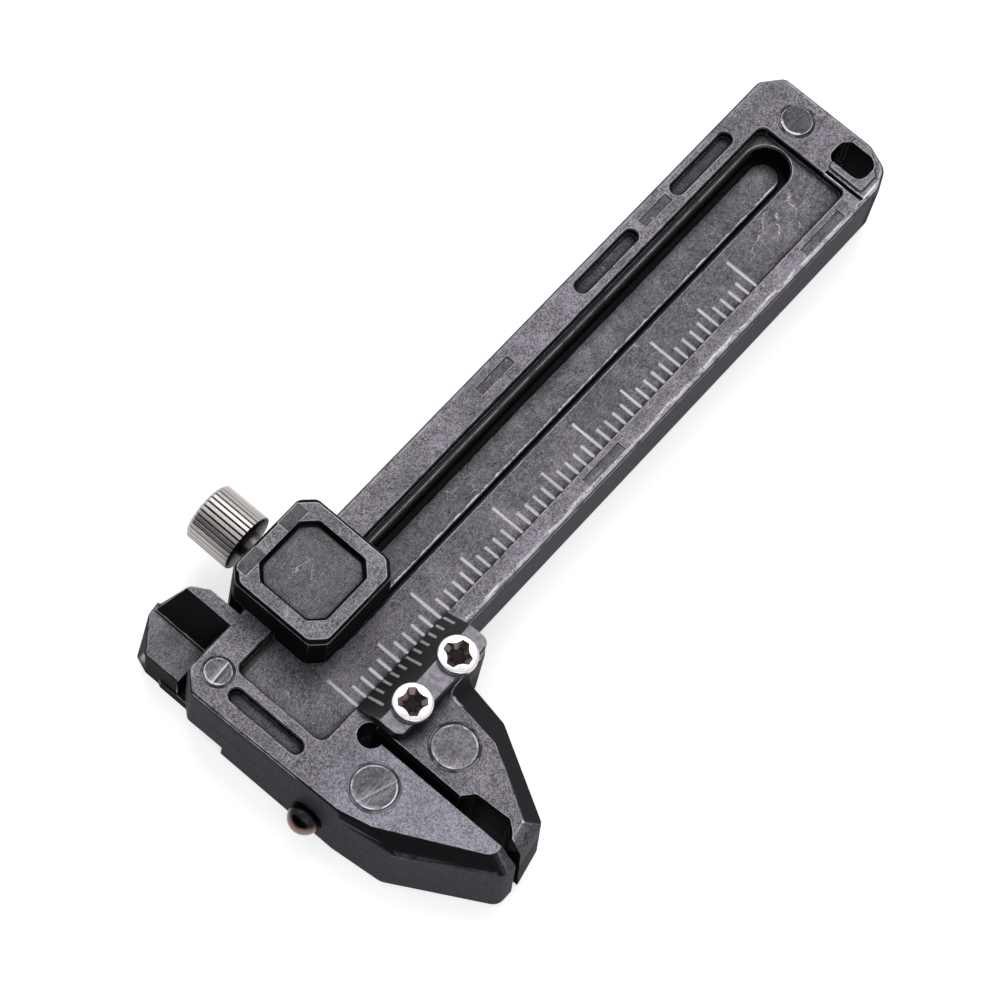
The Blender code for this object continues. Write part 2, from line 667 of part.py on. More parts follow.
def vernier_plate(mat):
    """The plate over the lower rim: sloping face with the short scale, flat for the screws."""
    low = vernier_low_z
    top = vernier_top_z
    edge_y = -half + vernier_overhang - slide_gap
    flat_y = screw_y + vernier_flat / 2 - 0.1
    back_y = flat_y - vernier_flat
    outline = [(edge_y, low), (edge_y, low + vernier_face), (flat_y, top), (back_y + 0.12, top),
               (back_y, top - 0.15), (back_y, low)]
    obj = mesh_object("vernier_plate", *along_x(outline, slider_left_x + 0.05, slider_right_x), mat)
    holes = []
    for x in (screw_first_x, screw_first_x + screw_spacing):
        holes.append(prism_mesh(circle(x, screw_y, screw_shank_r + press_gap, 16), 0, top + 1))
        holes.append(prism_mesh(circle(x, screw_y, screw_head_r + 0.08, 24), top - 0.02, top + 2))
    cut(obj, holes[0::2], "holes")
    cut(obj, holes[1::2], "seats")
    corners = [corner_cutter(slider_left_x + 0.05, back_y, -1, low - 1, top + 1),
               corner_cutter(slider_right_x, back_y, 1, low - 1, top + 1)]
    cut(obj, corners, "corners")
    slope = (top - low - vernier_face) / (edge_y - flat_y)
    marks = []
    for i in range(11):
        x = jaw_opening + i * vernier_pitch
        length = vernier_mark_lengths[0 if i in (0, 5) else 1 if i == 10 else 2]
        y0, y1 = edge_y - 0.1, edge_y - 0.1 - length
        z0 = low + vernier_face + 0.1 * slope
        z1 = z0 + length * slope
        outline = [(y0, z0 - mark_depth), (y0, z0 + 0.3), (y1, z1 + 0.3), (y1, z1 - mark_depth)]
        marks.append(along_x(outline, x - mark_width / 2, x + mark_width / 2))
    cut(obj, marks, "marks")
    return obj


def vernier_screw(name, x, turn, mat):
    """Domed cross-recess screw through the vernier plate into the slider's back casting."""
    seat = vernier_top_z + 0.03
    r = screw_head_r
    profile = [(screw_shank_r, parting_z - 1.5), (screw_shank_r, seat), (r - 0.1, seat), (r, seat + 0.08),
               (r, seat + 0.22), (r - 0.12, seat + 0.38), (r - 0.5, seat + 0.52), (r - 1.0, seat + 0.56)]
    rings = [[(px + x, py + screw_y, z) for px, py, z in ring] for ring in turned(profile)]
    obj = loft(name, rings, mat, (x, screw_y, seat))
    arms = []
    for k in range(2):
        a = turn + math.pi / 2 * k
        u = (math.cos(a), math.sin(a))
        rings = []
        for size, z in ((0.55, seat - 0.3), (1.0, seat + 0.6)):
            ring = []
            for s, w in ((-1, -1), (1, -1), (1, 1), (-1, 1)):
                along, across = s * size * cross_reach, w * size * cross_width / 2
                ring.append((x + u[0] * along - u[1] * across, screw_y + u[1] * along + u[0] * across, z))
            rings.append(ring)
        arms.append(loft_mesh(rings))
    cut(obj, arms[:1], "cross_a")
    cut(obj, arms[1:], "cross_b")
    return obj


def slider_cap(mat):
    """Housing with the thumb pad: sits over the upper rim and wraps round the beam's side."""
    x0, x1 = pad_left_x, pad_left_x + pad_size
    y0, y1 = pad_high_y - pad_size, pad_high_y
    low = plate_top_z + seam
    edge = pad_edge

    def ring(grow, z, chamfer):
        c = chamfer * 0.55
        points = []
        xs, ys = (x0 - grow, x1 + grow), (y0 - grow, y1 + grow)
        for x, y, sx, sy in ((xs[0], ys[0], 1, 1), (xs[1], ys[0], -1, 1), (xs[1], ys[1], -1, -1),
                             (xs[0], ys[1], 1, -1)):
            first = (x, y + sy * chamfer, c, 2)
            second = (x + sx * chamfer, y, c, 2)
            points += [first, second] if sx == sy else [second, first]
        return flat_ring(rounded(points), z)

    rings = [ring(pad_draft, low, pad_chamfer + 0.2), ring(0.05, pad_top_z - 0.6, pad_chamfer),
             ring(0, pad_top_z - edge, pad_chamfer), ring(-edge, pad_top_z, pad_chamfer)]
    obj = loft("slider_cap", rings, mat)
    g = slide_gap
    far = beam_end_x
    channel = box_mesh(-far, far, -far, side_in_y, low - 1, field_z + g)
    rim_channel = box_mesh(-far, far, field_high_y - 0.3, side_in_y, field_z, rim_top_z + g)
    cut(obj, [channel], "beam")
    cut(obj, [rim_channel], "rim")
    inset = (pad_size - pad_recess) / 2

    def recess_outline(grow):
        d = inset - grow
        return rounded([(x, y, 0.5, 3) for x, y in chamfered(x0 + d, x1 - d, y0 + d, y1 - d, 1.1)])

    cut(obj, [recess_mesh(recess_outline, pad_recess_depth, pad_top_z, 0.16)], "recess")
    length, width, depth = dimple_size
    dimples = [box_mesh(x, x + length, y1 - width, y1 + 1, pad_top_z - depth, pad_top_z + 1)
               for x in (x0 + 0.95, x1 - 1.35 - length)]
    bore = lock_neck_r + lock_bore_gap
    bore_mesh = along_y([(pad_x + px, lock_z + pz) for px, pz in circle(0, 0, bore, 24)],
                        side_in_y - 0.5, side_out_y + 1)
    g0, g1 = pad_x - gib_length / 2 - 0.15, pad_x + gib_length / 2 + 0.15
    gib_pocket = box_mesh(g0, g1, side_in_y - 0.5, side_in_y + gib_thick + 0.07, plate_top_z + 1.0,
                          field_z + 0.2)
    screw_holes = [prism_mesh(circle(x, y, 0.65, 20), 0, floor_gap + 4.5) for x, y in cap_screw_places()]
    cut(obj, dimples + screw_holes, "dimples")
    nib_room = box_mesh(-far, knife_side_x + jaw_opening + 0.25, side_in_y - 0.1, far,
                        knife_plane_z - 0.3, rim_top_z + 0.25)
    cut(obj, [nib_room], "nib")
    cut(obj, [gib_pocket], "gib")
    cut(obj, [bore_mesh], "bore")
    return obj


def chamfered(x0, x1, y0, y1, c):
    return [(x0, y1 - c), (x0, y0 + c), (x0 + c, y0), (x1 - c, y0), (x1, y0 + c), (x1, y1 - c),
            (x1 - c, y1), (x0 + c, y1)]


def slide_key(mat):
    """Key under the pad that runs in the beam's slot."""
    w = slot_width / 2 - 0.2
    outline = slot_outline(pad_x - key_length / 2, pad_x + key_length / 2, slot_y - w, slot_y + w)
    z0 = parting_z + rib_rise + 0.15
    return loft("slide_key", [flat_ring(outline, z0), flat_ring(outline, field_z + slide_gap - 0.05)], mat)


def gib_strip(mat):
    """Thin strip that the lock screw presses against the beam's side."""
    y0 = side_in_y - 0.05
    box = box_mesh(pad_x - gib_length / 2, pad_x + gib_length / 2, y0, y0 + gib_thick,
                   plate_top_z + 1.15, field_z)
    return mesh_object("gib_strip", *box, mat)


def lock_screw(mat):
    """Knurled thumb screw whose tip bears on the gib; its origin is on its own axis."""
    start = side_in_y + gib_thick + 0.07
    shoulder = side_out_y + lock_neck_gap - 0.15
    end = shoulder + lock_length
    c = 0.35

    def knurl(scale, y):
        ring = []
        for k in range(knurl_count * 2):
            a = math.pi * k / knurl_count
            r = (lock_r - (knurl_depth if k % 2 else 0.0)) * scale
            ring.append((pad_x + r * math.cos(a), y, lock_z + r * math.sin(a)))
        return ring

    def plain(r, y):
        return [(pad_x + r * math.cos(math.pi * k / knurl_count), y,
                 lock_z + r * math.sin(math.pi * k / knurl_count)) for k in range(knurl_count * 2)]

    rings = [plain(0.7, start), plain(lock_neck_r, start + 0.5), plain(lock_neck_r, shoulder),
             plain(lock_r - c, shoulder + 0.02), knurl(1.0, shoulder + c), knurl(1.0, end - c),
             plain(lock_r - c, end - 0.08), plain(lock_r - c - 0.5, end)]
    return loft("lock_screw", rings, mat, (pad_x, side_out_y, lock_z))


def build():
    clear_scene()
    gunmetal = material("gunmetal", (0.14, 0.135, 0.145), 0.5, 0.85)
    black = material("blackened", (0.02, 0.02, 0.02), 0.45, 0.6)
    steel = material("bright_steel", (0.62, 0.61, 0.6), 0.3, 1.0)
    nickel = material("nickel", (0.8, 0.79, 0.78), 0.22, 1.0)
    brass = material("brass", (0.55, 0.42, 0.2), 0.35, 1.0)
    front_frame(gunmetal)
    back_frame(gunmetal)
    post("fixed_jaw_post", jaw_post_xy, jaw_post_r, 0.1, rim_top_z + post_rise, gunmetal)
    post("head_post", head_post_xy, head_post_r, beam_back_z + 0.05, rim_top_z + post_rise, steel)
    post("tail_post", tail_post_xy, tail_post_r, 0.1, rim_top_z + post_rise, gunmetal)
    ball(steel)
    slider = bpy.data.objects.new("slider", None)
    bpy.context.scene.collection.objects.link(slider)
    moving = [slider_back(gunmetal), slider_cap(gunmetal), moving_jaw_front(gunmetal),
              post("moving_jaw_post", moving_post_xy, jaw_post_r, floor_gap + 0.1,
                   rim_top_z + post_rise, gunmetal),
              vernier_plate(black), slide_key(brass), gib_strip(brass)]
    moving.append(vernier_screw("vernier_screw_left", screw_first_x, 0.5, nickel))
    moving.append(vernier_screw("vernier_screw_right", screw_first_x + screw_spacing, 0.1, nickel))
    for name, (x, y) in zip(("cap_screw_left", "cap_screw_right"), cap_screw_places()):
        moving.append(cap_screw(name, x, y, steel))
    moving.append(lock_screw(steel))
    for obj in moving:
        obj.parent = slider


build()
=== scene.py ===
"""Looks of the mini vernier caliper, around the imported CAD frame.

Materials work in millimetres: each turns its object coordinates into the frame's millimetres
first. Pieces are placed in the drawing's millimetres, whose x starts at the scale's zero.
"""

import math

import bmesh
import bpy
from mathutils import Euler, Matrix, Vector

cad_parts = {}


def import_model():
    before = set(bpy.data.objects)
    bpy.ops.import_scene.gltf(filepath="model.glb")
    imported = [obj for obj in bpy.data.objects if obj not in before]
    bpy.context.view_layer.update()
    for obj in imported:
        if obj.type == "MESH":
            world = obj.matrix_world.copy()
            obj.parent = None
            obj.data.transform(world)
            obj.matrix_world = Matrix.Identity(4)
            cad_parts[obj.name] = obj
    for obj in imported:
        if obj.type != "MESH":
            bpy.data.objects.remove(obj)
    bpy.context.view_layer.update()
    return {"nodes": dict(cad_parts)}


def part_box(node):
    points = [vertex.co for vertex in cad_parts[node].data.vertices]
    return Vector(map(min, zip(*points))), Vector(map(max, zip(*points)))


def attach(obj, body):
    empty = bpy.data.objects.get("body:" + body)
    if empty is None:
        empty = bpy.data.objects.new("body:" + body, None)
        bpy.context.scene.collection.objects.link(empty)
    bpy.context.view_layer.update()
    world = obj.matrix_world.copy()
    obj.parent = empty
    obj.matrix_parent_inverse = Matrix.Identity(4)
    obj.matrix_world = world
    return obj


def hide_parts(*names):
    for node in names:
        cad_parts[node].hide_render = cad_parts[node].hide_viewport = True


MM = 0.001
SHARP = math.radians(34)    # edges that turn more than this stay hard

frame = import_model()
nodes = frame["nodes"]

# The drawing's places and sizes in millimetres, as the CAD has them
ORIGIN_X = -4.5             # the frame's origin
FIELD_Z = 6.6               # sunk field that carries the scale
FIELD_LOW_Y = -4.97
MARK_WIDTH = 0.25
MARK_DEPTH = 0.08
MARK_LENGTHS = (3.2, 2.3, 1.48)      # at tens, at fives and between
FILL_GAP = 0.01             # between a mark's fill and the groove's sides
FILL_SUNK = 0.015           # the fill lies this far below the face
FILL_START, FILL_END = 0.12, 0.09    # from the groove's near edge, and past its length
SCALE_MARKS = 51
VERNIER_MARKS = 11
VERNIER_FIRST_X = 0.75      # its first mark
VERNIER_PITCH = 0.9
VERNIER_LENGTHS = (1.5, 1.1, 0.8)    # first and middle, last, and between
VERNIER_EDGE = (-5.0, 7.73)          # y and z where the sloping face starts
VERNIER_SLOPE = 1.27 / 2.25
SCREW_Y = -8.25
SCREW_XS = (2.2, 7.6)
SCREW_TURNS = (43, 8)                # how far each cross recess is turned, in degrees
SCREW_SEAT_Z = 9.03
SCREW_R = 1.68
KNOB_X = 4.725              # the lock screw's axis
KNOB_Z = 5.55
KNOB_R = 2.6
KNOB_LENGTH = 4.5
KNOB_RIDGES = 36
POST_TOP_Z = 7.48           # face that the posts' lips stand on
# Each post's node, x, y, radius and the turn of its scratches in degrees
POSTS = (("fixed_jaw_post", -4.48, -10.3, 2.0, -19), ("moving_jaw_post", 2.26, -12.75, 2.0, 20),
         ("tail_post", 63.86, 2.2, 1.5, -35), ("head_post", -5.53, 4.9, 1.25, 4))
# The same posts' tone, rub, slash and rim, as post_finish takes them
POST_LOOKS = ((1.0, 0.2, 0.3, 0.2), (1.2, 0.08, 0.0, 0.15), (0.52, 0.04, 0.0, 0.9), (1.1, 0.2, 0.7, 0.6))
BALL = (-8.5, -7.1, 2.7)
BALL_R = 1.4

# Studio, in metres
LAMP_AIM = (0.03, 0, 0)
WORLD_LIGHT = 0.45          # strength of the surroundings as a light; they show at 1
FLOOR_LIFT = 0.6            # light that the camera sees from the floor on top of the lamps
FLOOR_REACH = 2.0
FLOOR_Z = -0.00002          # just under the object's feet
CARD_NEAR_X, CARD_BEND_X, CARD_FAR_X = -0.03, -0.2, -0.26
CARD_LOW_Y, CARD_HIGH_Y = -0.3, 0.35
CARD_LOW_Z, CARD_HIGH_Z = 0.0004, 0.3

# Places in the frame's own millimetres, for the finishes and the key
PARTING_Z = 4.0             # where the front and back castings meet
LOWER_EDGE_Y = -6.5         # line along the lower rim, worn and partly painted highlight
SLOT_Y = 1.4                # middle of the long slot
SLOT_WALL_Y = 3.45          # its upper wall
LANYARD_X = 68.65           # hole at the beam's far end
NOTCH = (3.06, -7.3)        # its x is also that of the fixed jaw's measuring face
PAD_X, PAD_Y = 9.225, 4.375
PAD_RECESS = 3.425          # half the width of the pad's recess
PAD_CORNER = 5.75           # x and y together, at the recess's cut corners
KEY_R, KEY_Y = 1.825, 1.425
KEY_X = (6.325, 12.125)
KEY_Z = (4.75, 6.7)
# Long scratches on each part: middle x and y, turn in degrees and length
SQUIGGLES = {"front": ((62.3, -2.7, 58, 3.8), (58.4, -2.1, 24, 5.2), (59.8, -2.6, 40, 3.0)),
             "slider": ((8.9, 5.4, 14, 3.2), (9.3, 4.7, 53, 2.2))}


def place(x, y, z):
    """A point of the frame in metres, from the drawing's millimetres."""
    return Vector((x - ORIGIN_X, y, z)) * MM


class Paint:
    """A material under construction, with short calls that add and link its nodes."""

    def __init__(self, name, roughness=0.5, metallic=0.0):
        self.material = bpy.data.materials.new(name)
        self.material.use_nodes = True
        self.tree = self.material.node_tree
        self.shader = self.tree.nodes["Principled BSDF"]
        self.shader.inputs["Roughness"].default_value = roughness
        self.shader.inputs["Metallic"].default_value = metallic

    def add(self, kind, sockets=None, **settings):
        """A new node with these settings; sockets gives values or links for its inputs."""
        made = self.tree.nodes.new(kind)
        for key, value in settings.items():
            setattr(made, key, value)
        for name, value in (sockets or {}).items():
            self.put(made.inputs[name], value)
        return made

    def put(self, socket, value):
        """Links value to the socket if it is another node's output, or else sets it."""
        if isinstance(value, bpy.types.NodeSocket):
            self.tree.links.new(value, socket)
        else:
            socket.default_value = value

    def set(self, name, value):
        self.put(self.shader.inputs[name], value)

    def millimetres(self):
        """Object coordinates in millimetres."""
        metres = self.add("ShaderNodeTexCoord").outputs["Object"]
        scaled = self.add("ShaderNodeVectorMath", {0: metres}, operation="SCALE")
        scaled.inputs["Scale"].default_value = 1 / MM
        return scaled.outputs[0]

    def split(self, vector):
        """The vector's three parts."""
        made = self.add("ShaderNodeSeparateXYZ", {0: vector})
        return [made.outputs[k] for k in range(3)]

    def moved(self, vector, by):
        """The vector plus a fixed one."""
        return self.add("ShaderNodeVectorMath", {0: vector, 1: by}, operation="ADD").outputs[0]

    def calc(self, operation, a, b=0.0):
        return self.add("ShaderNodeMath", {0: a, 1: b}, operation=operation).outputs[0]

    def times(self, a, b):
        return self.calc("MULTIPLY", a, b)

    def plus(self, a, b):
        return self.calc("ADD", a, b)

    def either(self, a, b):
        return self.calc("MAXIMUM", a, b)

    def fade(self, value, low, high, to_low=0.0, to_high=1.0):
        """value goes smoothly from to_low to to_high as it runs from low to high."""
        return self.add("ShaderNodeMapRange", {"Value": value, "From Min": low, "From Max": high,
                                               "To Min": to_low, "To Max": to_high},
                        interpolation_type="SMOOTHSTEP").outputs["Result"]

    def off(self, value, middle):
        """Distance of value from middle."""
        return self.calc("ABSOLUTE", self.plus(value, -middle))

    def near(self, value, middle, far, close):
        """1 where value is closer than close to middle, and 0 where it is farther than far."""
        return self.fade(self.off(value, middle), far, close)

    def noise(self, where, scale, detail=2.0, roughness=0.5, distortion=0.0):
        """Noise with about scale features to the millimetre."""
        return self.add("ShaderNodeTexNoise", {"Vector": where, "Scale": scale, "Detail": detail,
                                               "Roughness": roughness, "Distortion": distortion}
                        ).outputs["Fac"]

    def stretched(self, where, turn, along, across):
        """The place turned about Z and scaled, for streaks that run at that angle."""
        return self.add("ShaderNodeMapping", {"Vector": where, "Rotation": (0, 0, math.radians(turn)),
                                              "Scale": (along, across, across)}).outputs[0]

    def line(self, value, middle, width):
        """1 where value is within width of middle: a contour line of a noise."""
        off = self.calc("ABSOLUTE", self.calc("SUBTRACT", value, middle))
        return self.fade(off, width, width * 0.3)

    def colours(self, factor, first, second):
        """Mix of two colours: the first at factor 0, the second at 1."""
        made = self.add("ShaderNodeMix", data_type="RGBA")
        self.put(made.inputs[0], factor)
        self.put(made.inputs[6], first if isinstance(first, bpy.types.NodeSocket) else (*first, 1.0))
        self.put(made.inputs[7], second if isinstance(second, bpy.types.NodeSocket) else (*second, 1.0))
        return made.outputs[2]

    def hollow(self, distance, inside=False, alone=True):
        """0 in the open, up to 1 in inner corners, or near outer edges when inside is true.

        alone leaves the other pieces out.
        """
        made = self.add("ShaderNodeAmbientOcclusion", {"Distance": distance * MM}, inside=inside,
                        only_local=alone, samples=8)
        return self.calc("SUBTRACT", 1.0, made.outputs["AO"])

    def rounding(self, radius):
        """The normal as if every edge were rounded to this radius in millimetres."""
        return self.add("ShaderNodeBevel", {"Radius": radius * MM}, samples=6).outputs[0]

    def edges(self, rounded):
        """How far the rounded normal turns away from the face's own: above 0 only along edges."""
        true = self.add("ShaderNodeNewGeometry").outputs["True Normal"]
        return self.calc("SUBTRACT", 1.0, self.dot(rounded, true))

    def dot(self, a, b):
        return self.add("ShaderNodeVectorMath", {0: a, 1: b}, operation="DOT_PRODUCT").outputs["Value"]

    def bump(self, height, strength, distance, normal=None):
        """Small relief in millimetres."""
        made = self.add("ShaderNodeBump", {"Height": height, "Strength": strength,
                                           "Distance": distance * MM})
        if normal:
            self.put(made.inputs["Normal"], normal)
        self.set("Normal", made.outputs[0])


def shade(grey, violet=0.0):
    """A near-grey colour; violet above 0 takes green out and adds blue."""
    return (grey * (1 + 0.005 * violet), grey * (1 - 0.065 * violet), grey * (1 + 0.075 * violet))


class Casting(Paint):
    """Gunmetal of one casting, with the places, masks and textures that its layers share.

    part says which places of the drawing it paints: "front", "back", "slider" or "jaw".
    """

    def __init__(self, name, seed, part):
        super().__init__(name, metallic=0.75)
        self.set("Specular IOR Level", 0.2)
        self.set("Specular Tint", (0.35, 0.34, 0.36, 1.0))
        self.part = part
        spot = self.millimetres()
        self.x, self.y, self.z = self.split(spot)
        self.spot = self.moved(spot, (seed, seed * 1.7, seed * 0.6)) if seed else spot
        self.normal = self.split(self.add("ShaderNodeNewGeometry").outputs["True Normal"])
        # how level a face is, and 1 on the upright ones
        self.level = self.calc("ABSOLUTE", self.normal[2])
        self.upright = self.fade(self.level, 0.75, 0.6)

        # noises from broad to fine, then their mixes for the cast grain and for uneven wear
        self.clouds = self.noise(self.spot, 0.22, 4.0, 0.6)
        self.patches = self.noise(self.spot, 0.9, 3.0, 0.6)
        self.grain = self.noise(self.spot, 11.0, 3.0, 0.8)
        self.soft = self.noise(self.spot, 3.6, 3.0, 0.6)
        self.mottle = self.plus(self.times(self.grain, 0.7),
                                self.plus(self.times(self.soft, 0.17), self.times(self.patches, 0.13)))
        self.ragged = self.plus(self.noise(self.spot, 0.7, 6.0, 0.75), self.times(self.grain, 0.3))
        self.rounded = self.rounding(0.13)
        self.flat = self.level_faces()
        # slants of the head and the jaws, and the stretch between the two ends of the beam's field
        self.slope = self.times(self.fade(self.level, 0.2, 0.3),
                                self.either(self.fade(self.x, 11.0, 10.0), self.fade(self.y, -7.0, -7.2)))
        self.inside_x = self.times(self.fade(self.x, 0.0, 0.1), self.fade(self.x, 66.3, 66.2))
        self.hair = self.scratches()

    def level_faces(self):
        """1 on level faces and on the slanting nose of the jaws' tips, which so takes the level faces'
        lighter colour as a painted highlight.
        """
        tip = self.times(self.times(self.fade(self.normal[1], -0.25, -0.33), self.fade(self.y, -20.4, -20.6)),
                         self.fade(self.calc("ABSOLUTE", self.normal[0]), 0.3, 0.2))
        flat = self.fade(self.level, 0.83, 0.87)
        if self.part == "jaw":
            flat = self.times(flat, self.fade(self.z, 7.4, 7.46))
        return self.either(flat, self.times(tip, self.fade(self.level, 0.72, 0.77)))

    def scratches(self):
        """Light hairlines: a few thin arcs and loops and short straight streaks, in uneven patches."""
        contours = ((0.3, 0.5, 0.003, 0.56, 0.0), (0.55, 0.52, 0.005, 0.55, 17.0),
                    (0.95, 0.5, 0.009, 0.54, 71.0))
        streaks = ((24, 0.45, 9.0, 0.71), (-38, 0.4, 10.0, 0.73), (81, 0.5, 9.0, 0.74))
        lines = []
        for scale, middle, width, low, shift in contours:
            moved = self.moved(self.spot, (shift, shift, 0))
            line = self.line(self.noise(moved, scale, 0.0, 0.4, 0.5), middle, width)
            lines.append(self.times(line, self.fade(self.noise(moved, scale * 2.2, 1.0), low, low + 0.1)))
        for turn, along, across, middle in streaks:
            streak = self.noise(self.stretched(self.spot, turn, along, across), 1.0, 1.0, 0.5)
            lines.append(self.times(self.fade(streak, middle, middle + 0.06), 0.8))
        total = lines[0]
        for line in lines[1:]:
            total = self.either(total, line)
        return total

    def squiggle(self, x, y, turn, length):
        """One long wandering scratch, centred at x and y in millimetres."""
        cos, sin = math.cos(math.radians(turn)), math.sin(math.radians(turn))
        from_x, from_y = self.plus(self.x, -x), self.plus(self.y, -y)
        along = self.plus(self.times(from_x, cos), self.times(from_y, sin))
        across = self.plus(self.times(from_y, cos), self.times(from_x, -sin))
        wander = self.times(self.plus(self.noise(self.spot, 0.55, 3.0, 0.6), -0.5), 2.6)
        line = self.line(self.plus(across, wander), 0.0, 0.075)
        return self.times(line, self.fade(self.calc("ABSOLUTE", along), length / 2, length / 2 - 0.4))

    def metal(self, violet, tone, rim_z, mark_z):
        """Colour of the level faces: mottled, with flecks, pits and scratches, and rubbed above rim_z."""
        def mottled(low, high, start=0.41):
            return self.colours(self.fade(self.mottle, start, 0.6), shade(low, violet), shade(high, violet))

        top = self.colours(self.fade(self.z, rim_z, rim_z + 0.1), mottled(0.028 * tone, 0.16 * tone),
                           mottled(0.032 * tone, 0.25 * tone))
        top = self.colours(self.fade(self.clouds, 0.42, 0.7, 0.0, 0.4), top, shade(0.035 * tone, violet))
        bright = self.colours(self.fade(self.grain, 0.4, 0.6), shade(0.1, violet), shade(0.26, violet))
        top = self.colours(self.fade(self.clouds, 0.46, 0.34, 0.0, 0.4), top, bright)
        flecks = self.times(self.fade(self.grain, 0.6, 0.67), self.fade(self.patches, 0.42, 0.6, 0.3, 1.0))
        top = self.colours(self.times(flecks, 0.6), top, shade(0.42, violet))
        pits = self.times(self.fade(self.soft, 0.36, 0.3), self.fade(self.patches, 0.5, 0.4))
        top = self.colours(self.times(pits, 0.4), top, shade(0.015, violet))
        shallow = self.times(self.fade(self.z, mark_z - 0.04, mark_z - 0.03),
                             self.fade(self.z, mark_z + 0.03, mark_z + 0.02))
        top = self.colours(self.times(shallow, 0.85), top, mottled(0.02, 0.1, 0.4))
        top = self.colours(self.times(self.hair, 0.45), top, shade(0.42, 0.8))
        for where in SQUIGGLES.get(self.part, ()):
            strength = self.fade(self.soft, 0.4, 0.6, 0.15, 0.7 if self.part == "front" else 0.4)
            top = self.colours(self.times(self.squiggle(*where), strength), top, shade(0.42, 0.8))
        return top

    def walls(self, wall, bevel):
        """Colour of the upright faces and, darker, of the slopes round the head and the jaws: the slopes'
        near black is partly a blackened finish and partly painted shade, and the upright faces' darker grey
        is partly painted shade.
        """
        side = self.colours(self.fade(self.soft, 0.35, 0.65), shade(wall * 0.85, 1.0), shade(wall * 1.2, 1.3))
        return self.colours(self.times(self.slope, 0.85), side, shade(bevel, 0.8))

    def black_holes(self, base):
        """Painted shade: black walls inside the lanyard hole and the notch where the fixed jaw meets the
        beam.
        """
        hole = self.times(self.near(self.x, LANYARD_X, 1.5, 1.4), self.upright)
        notch = self.times(self.near(self.x, NOTCH[0], 1.3, 1.2), self.near(self.y, NOTCH[1], 1.3, 1.2))
        base = self.colours(hole, base, shade(0.002))
        return self.colours(self.times(notch, self.upright), base, shade(0.002))

    def front_places(self, base):
        """Rubbed fixed jaw, painted shade as black walls inside the rims and the slot, and the streaky ledge
        above the slot.
        """
        jaw = self.times(self.fade(self.y, -6.0, -10.0, 0.0, 0.3), self.flat)
        rubbed = self.colours(self.fade(self.mottle, 0.4, 0.6), (0.1, 0.098, 0.115), (0.34, 0.335, 0.395))
        base = self.colours(self.times(jaw, 1.9), base, rubbed)
        well = self.times(self.fade(self.calc("ABSOLUTE", self.y), 5.2, 5.1), self.inside_x)
        # Painted shade: upright faces inside the rims and the slot go black.
        base = self.colours(self.times(self.upright, well), base, shade(0.008))
        ledge = self.times(self.fade(self.y, 3.4, 3.5), self.fade(self.z, 7.2, 7.0))
        ledge = self.times(ledge, self.times(well, self.flat))
        return self.colours(ledge, base, self.colours(self.streaks(), shade(0.012), shade(0.1)))

    def streaks(self):
        """Noise drawn out along the beam."""
        return self.noise(self.stretched(self.spot, 0, 0.3, 5.0), 1.0, 3.0, 0.6)

    def pad_reach(self):
        """How far a place is from the pad's middle, measured so that the recess's rim is at PAD_RECESS."""
        off_x, off_y = self.off(self.x, PAD_X), self.off(self.y, PAD_Y)
        corner = self.plus(self.times(self.plus(off_x, off_y), 0.707), PAD_RECESS - PAD_CORNER * 0.707)
        return self.either(self.either(off_x, off_y), corner)

    def pad_places(self, base, reach):
        """Painted shade: black walls of the pad's recess and a black band at their foot."""
        sunk = self.times(self.fade(self.z, 10.0, 10.2), self.fade(reach, 3.75, 3.7))
        foot = self.either(self.fade(reach, 3.2, 3.38), self.fade(self.plus(self.x, -PAD_X), 3.05, 3.3))
        foot = self.times(foot, self.fade(self.z, 10.5, 10.4))
        foot = self.either(foot, self.fade(self.level, 0.8, 0.7))
        return self.colours(self.times(sunk, self.times(foot, 0.95)), base, shade(0.002))

    def occlusion_shade(self):
        """How deep a place lies among its surroundings: the mask for painted shade in deep places and between
        pieces, and for duller gloss there.

        The slider passes the fixed castings, so on them other pieces count only inside the slot.
        """
        near = self.fade(self.hollow(2.2, alone=False), 0.08, 0.55)
        if self.part in ("front", "back"):
            slot = self.times(self.near(self.y, SLOT_Y, 2.3, 2.2), self.fade(self.z, 3.8, 3.9))
            if self.part == "front":
                slot = self.times(slot, self.upright)
            near = self.either(self.times(near, slot), self.fade(self.hollow(2.2), 0.08, 0.55))
        return near

    def front_wear(self, base):
        """Streaks on the slot's upper wall towards its top, and along the lower rim a soft lighter band and a
        bright broken line, each partly wear and partly painted highlight.
        """
        # The slot's upper wall keeps its painted black shade low down and shows streaks towards its top.
        slot_wall = self.times(self.times(self.near(self.y, SLOT_WALL_Y, 0.12, 0.06), self.upright),
                               self.fade(self.z, 4.9, 5.7, 0.0, 0.9))
        base = self.colours(self.times(slot_wall, self.inside_x), base,
                            self.colours(self.streaks(), shade(0.01), shade(0.11)))
        drift = self.times(self.plus(self.noise(self.spot, 0.35, 3.0, 0.6), -0.5), 0.7)
        off = self.off(self.plus(self.y, drift), LOWER_EDGE_Y)
        beam = self.times(self.flat, self.fade(self.x, 12.0, 13.0))
        rubbed = self.plus(self.noise(self.stretched(self.spot, 0, 0.3, 2.0), 1.0, 6.0, 0.75),
                           self.times(self.fade(self.grain, 0.3, 0.7), 0.2))
        # Painted sheen, partly wear: a soft lighter band along the lower rim's outer edge.
        glow = self.times(self.fade(off, 0.9, 0.2), self.fade(rubbed, 0.45, 0.75, 0.0, 0.3))
        base = self.colours(self.times(glow, beam), base, shade(0.3, 0.7))
        # Painted highlight, partly wear: a bright broken line along the lower rim's outer edge.
        line = self.times(self.fade(off, 0.22, 0.05), self.fade(rubbed, 0.55, 0.66, 0.0, 0.85))
        return self.colours(self.times(line, beam), base, shade(0.55, 0.6))

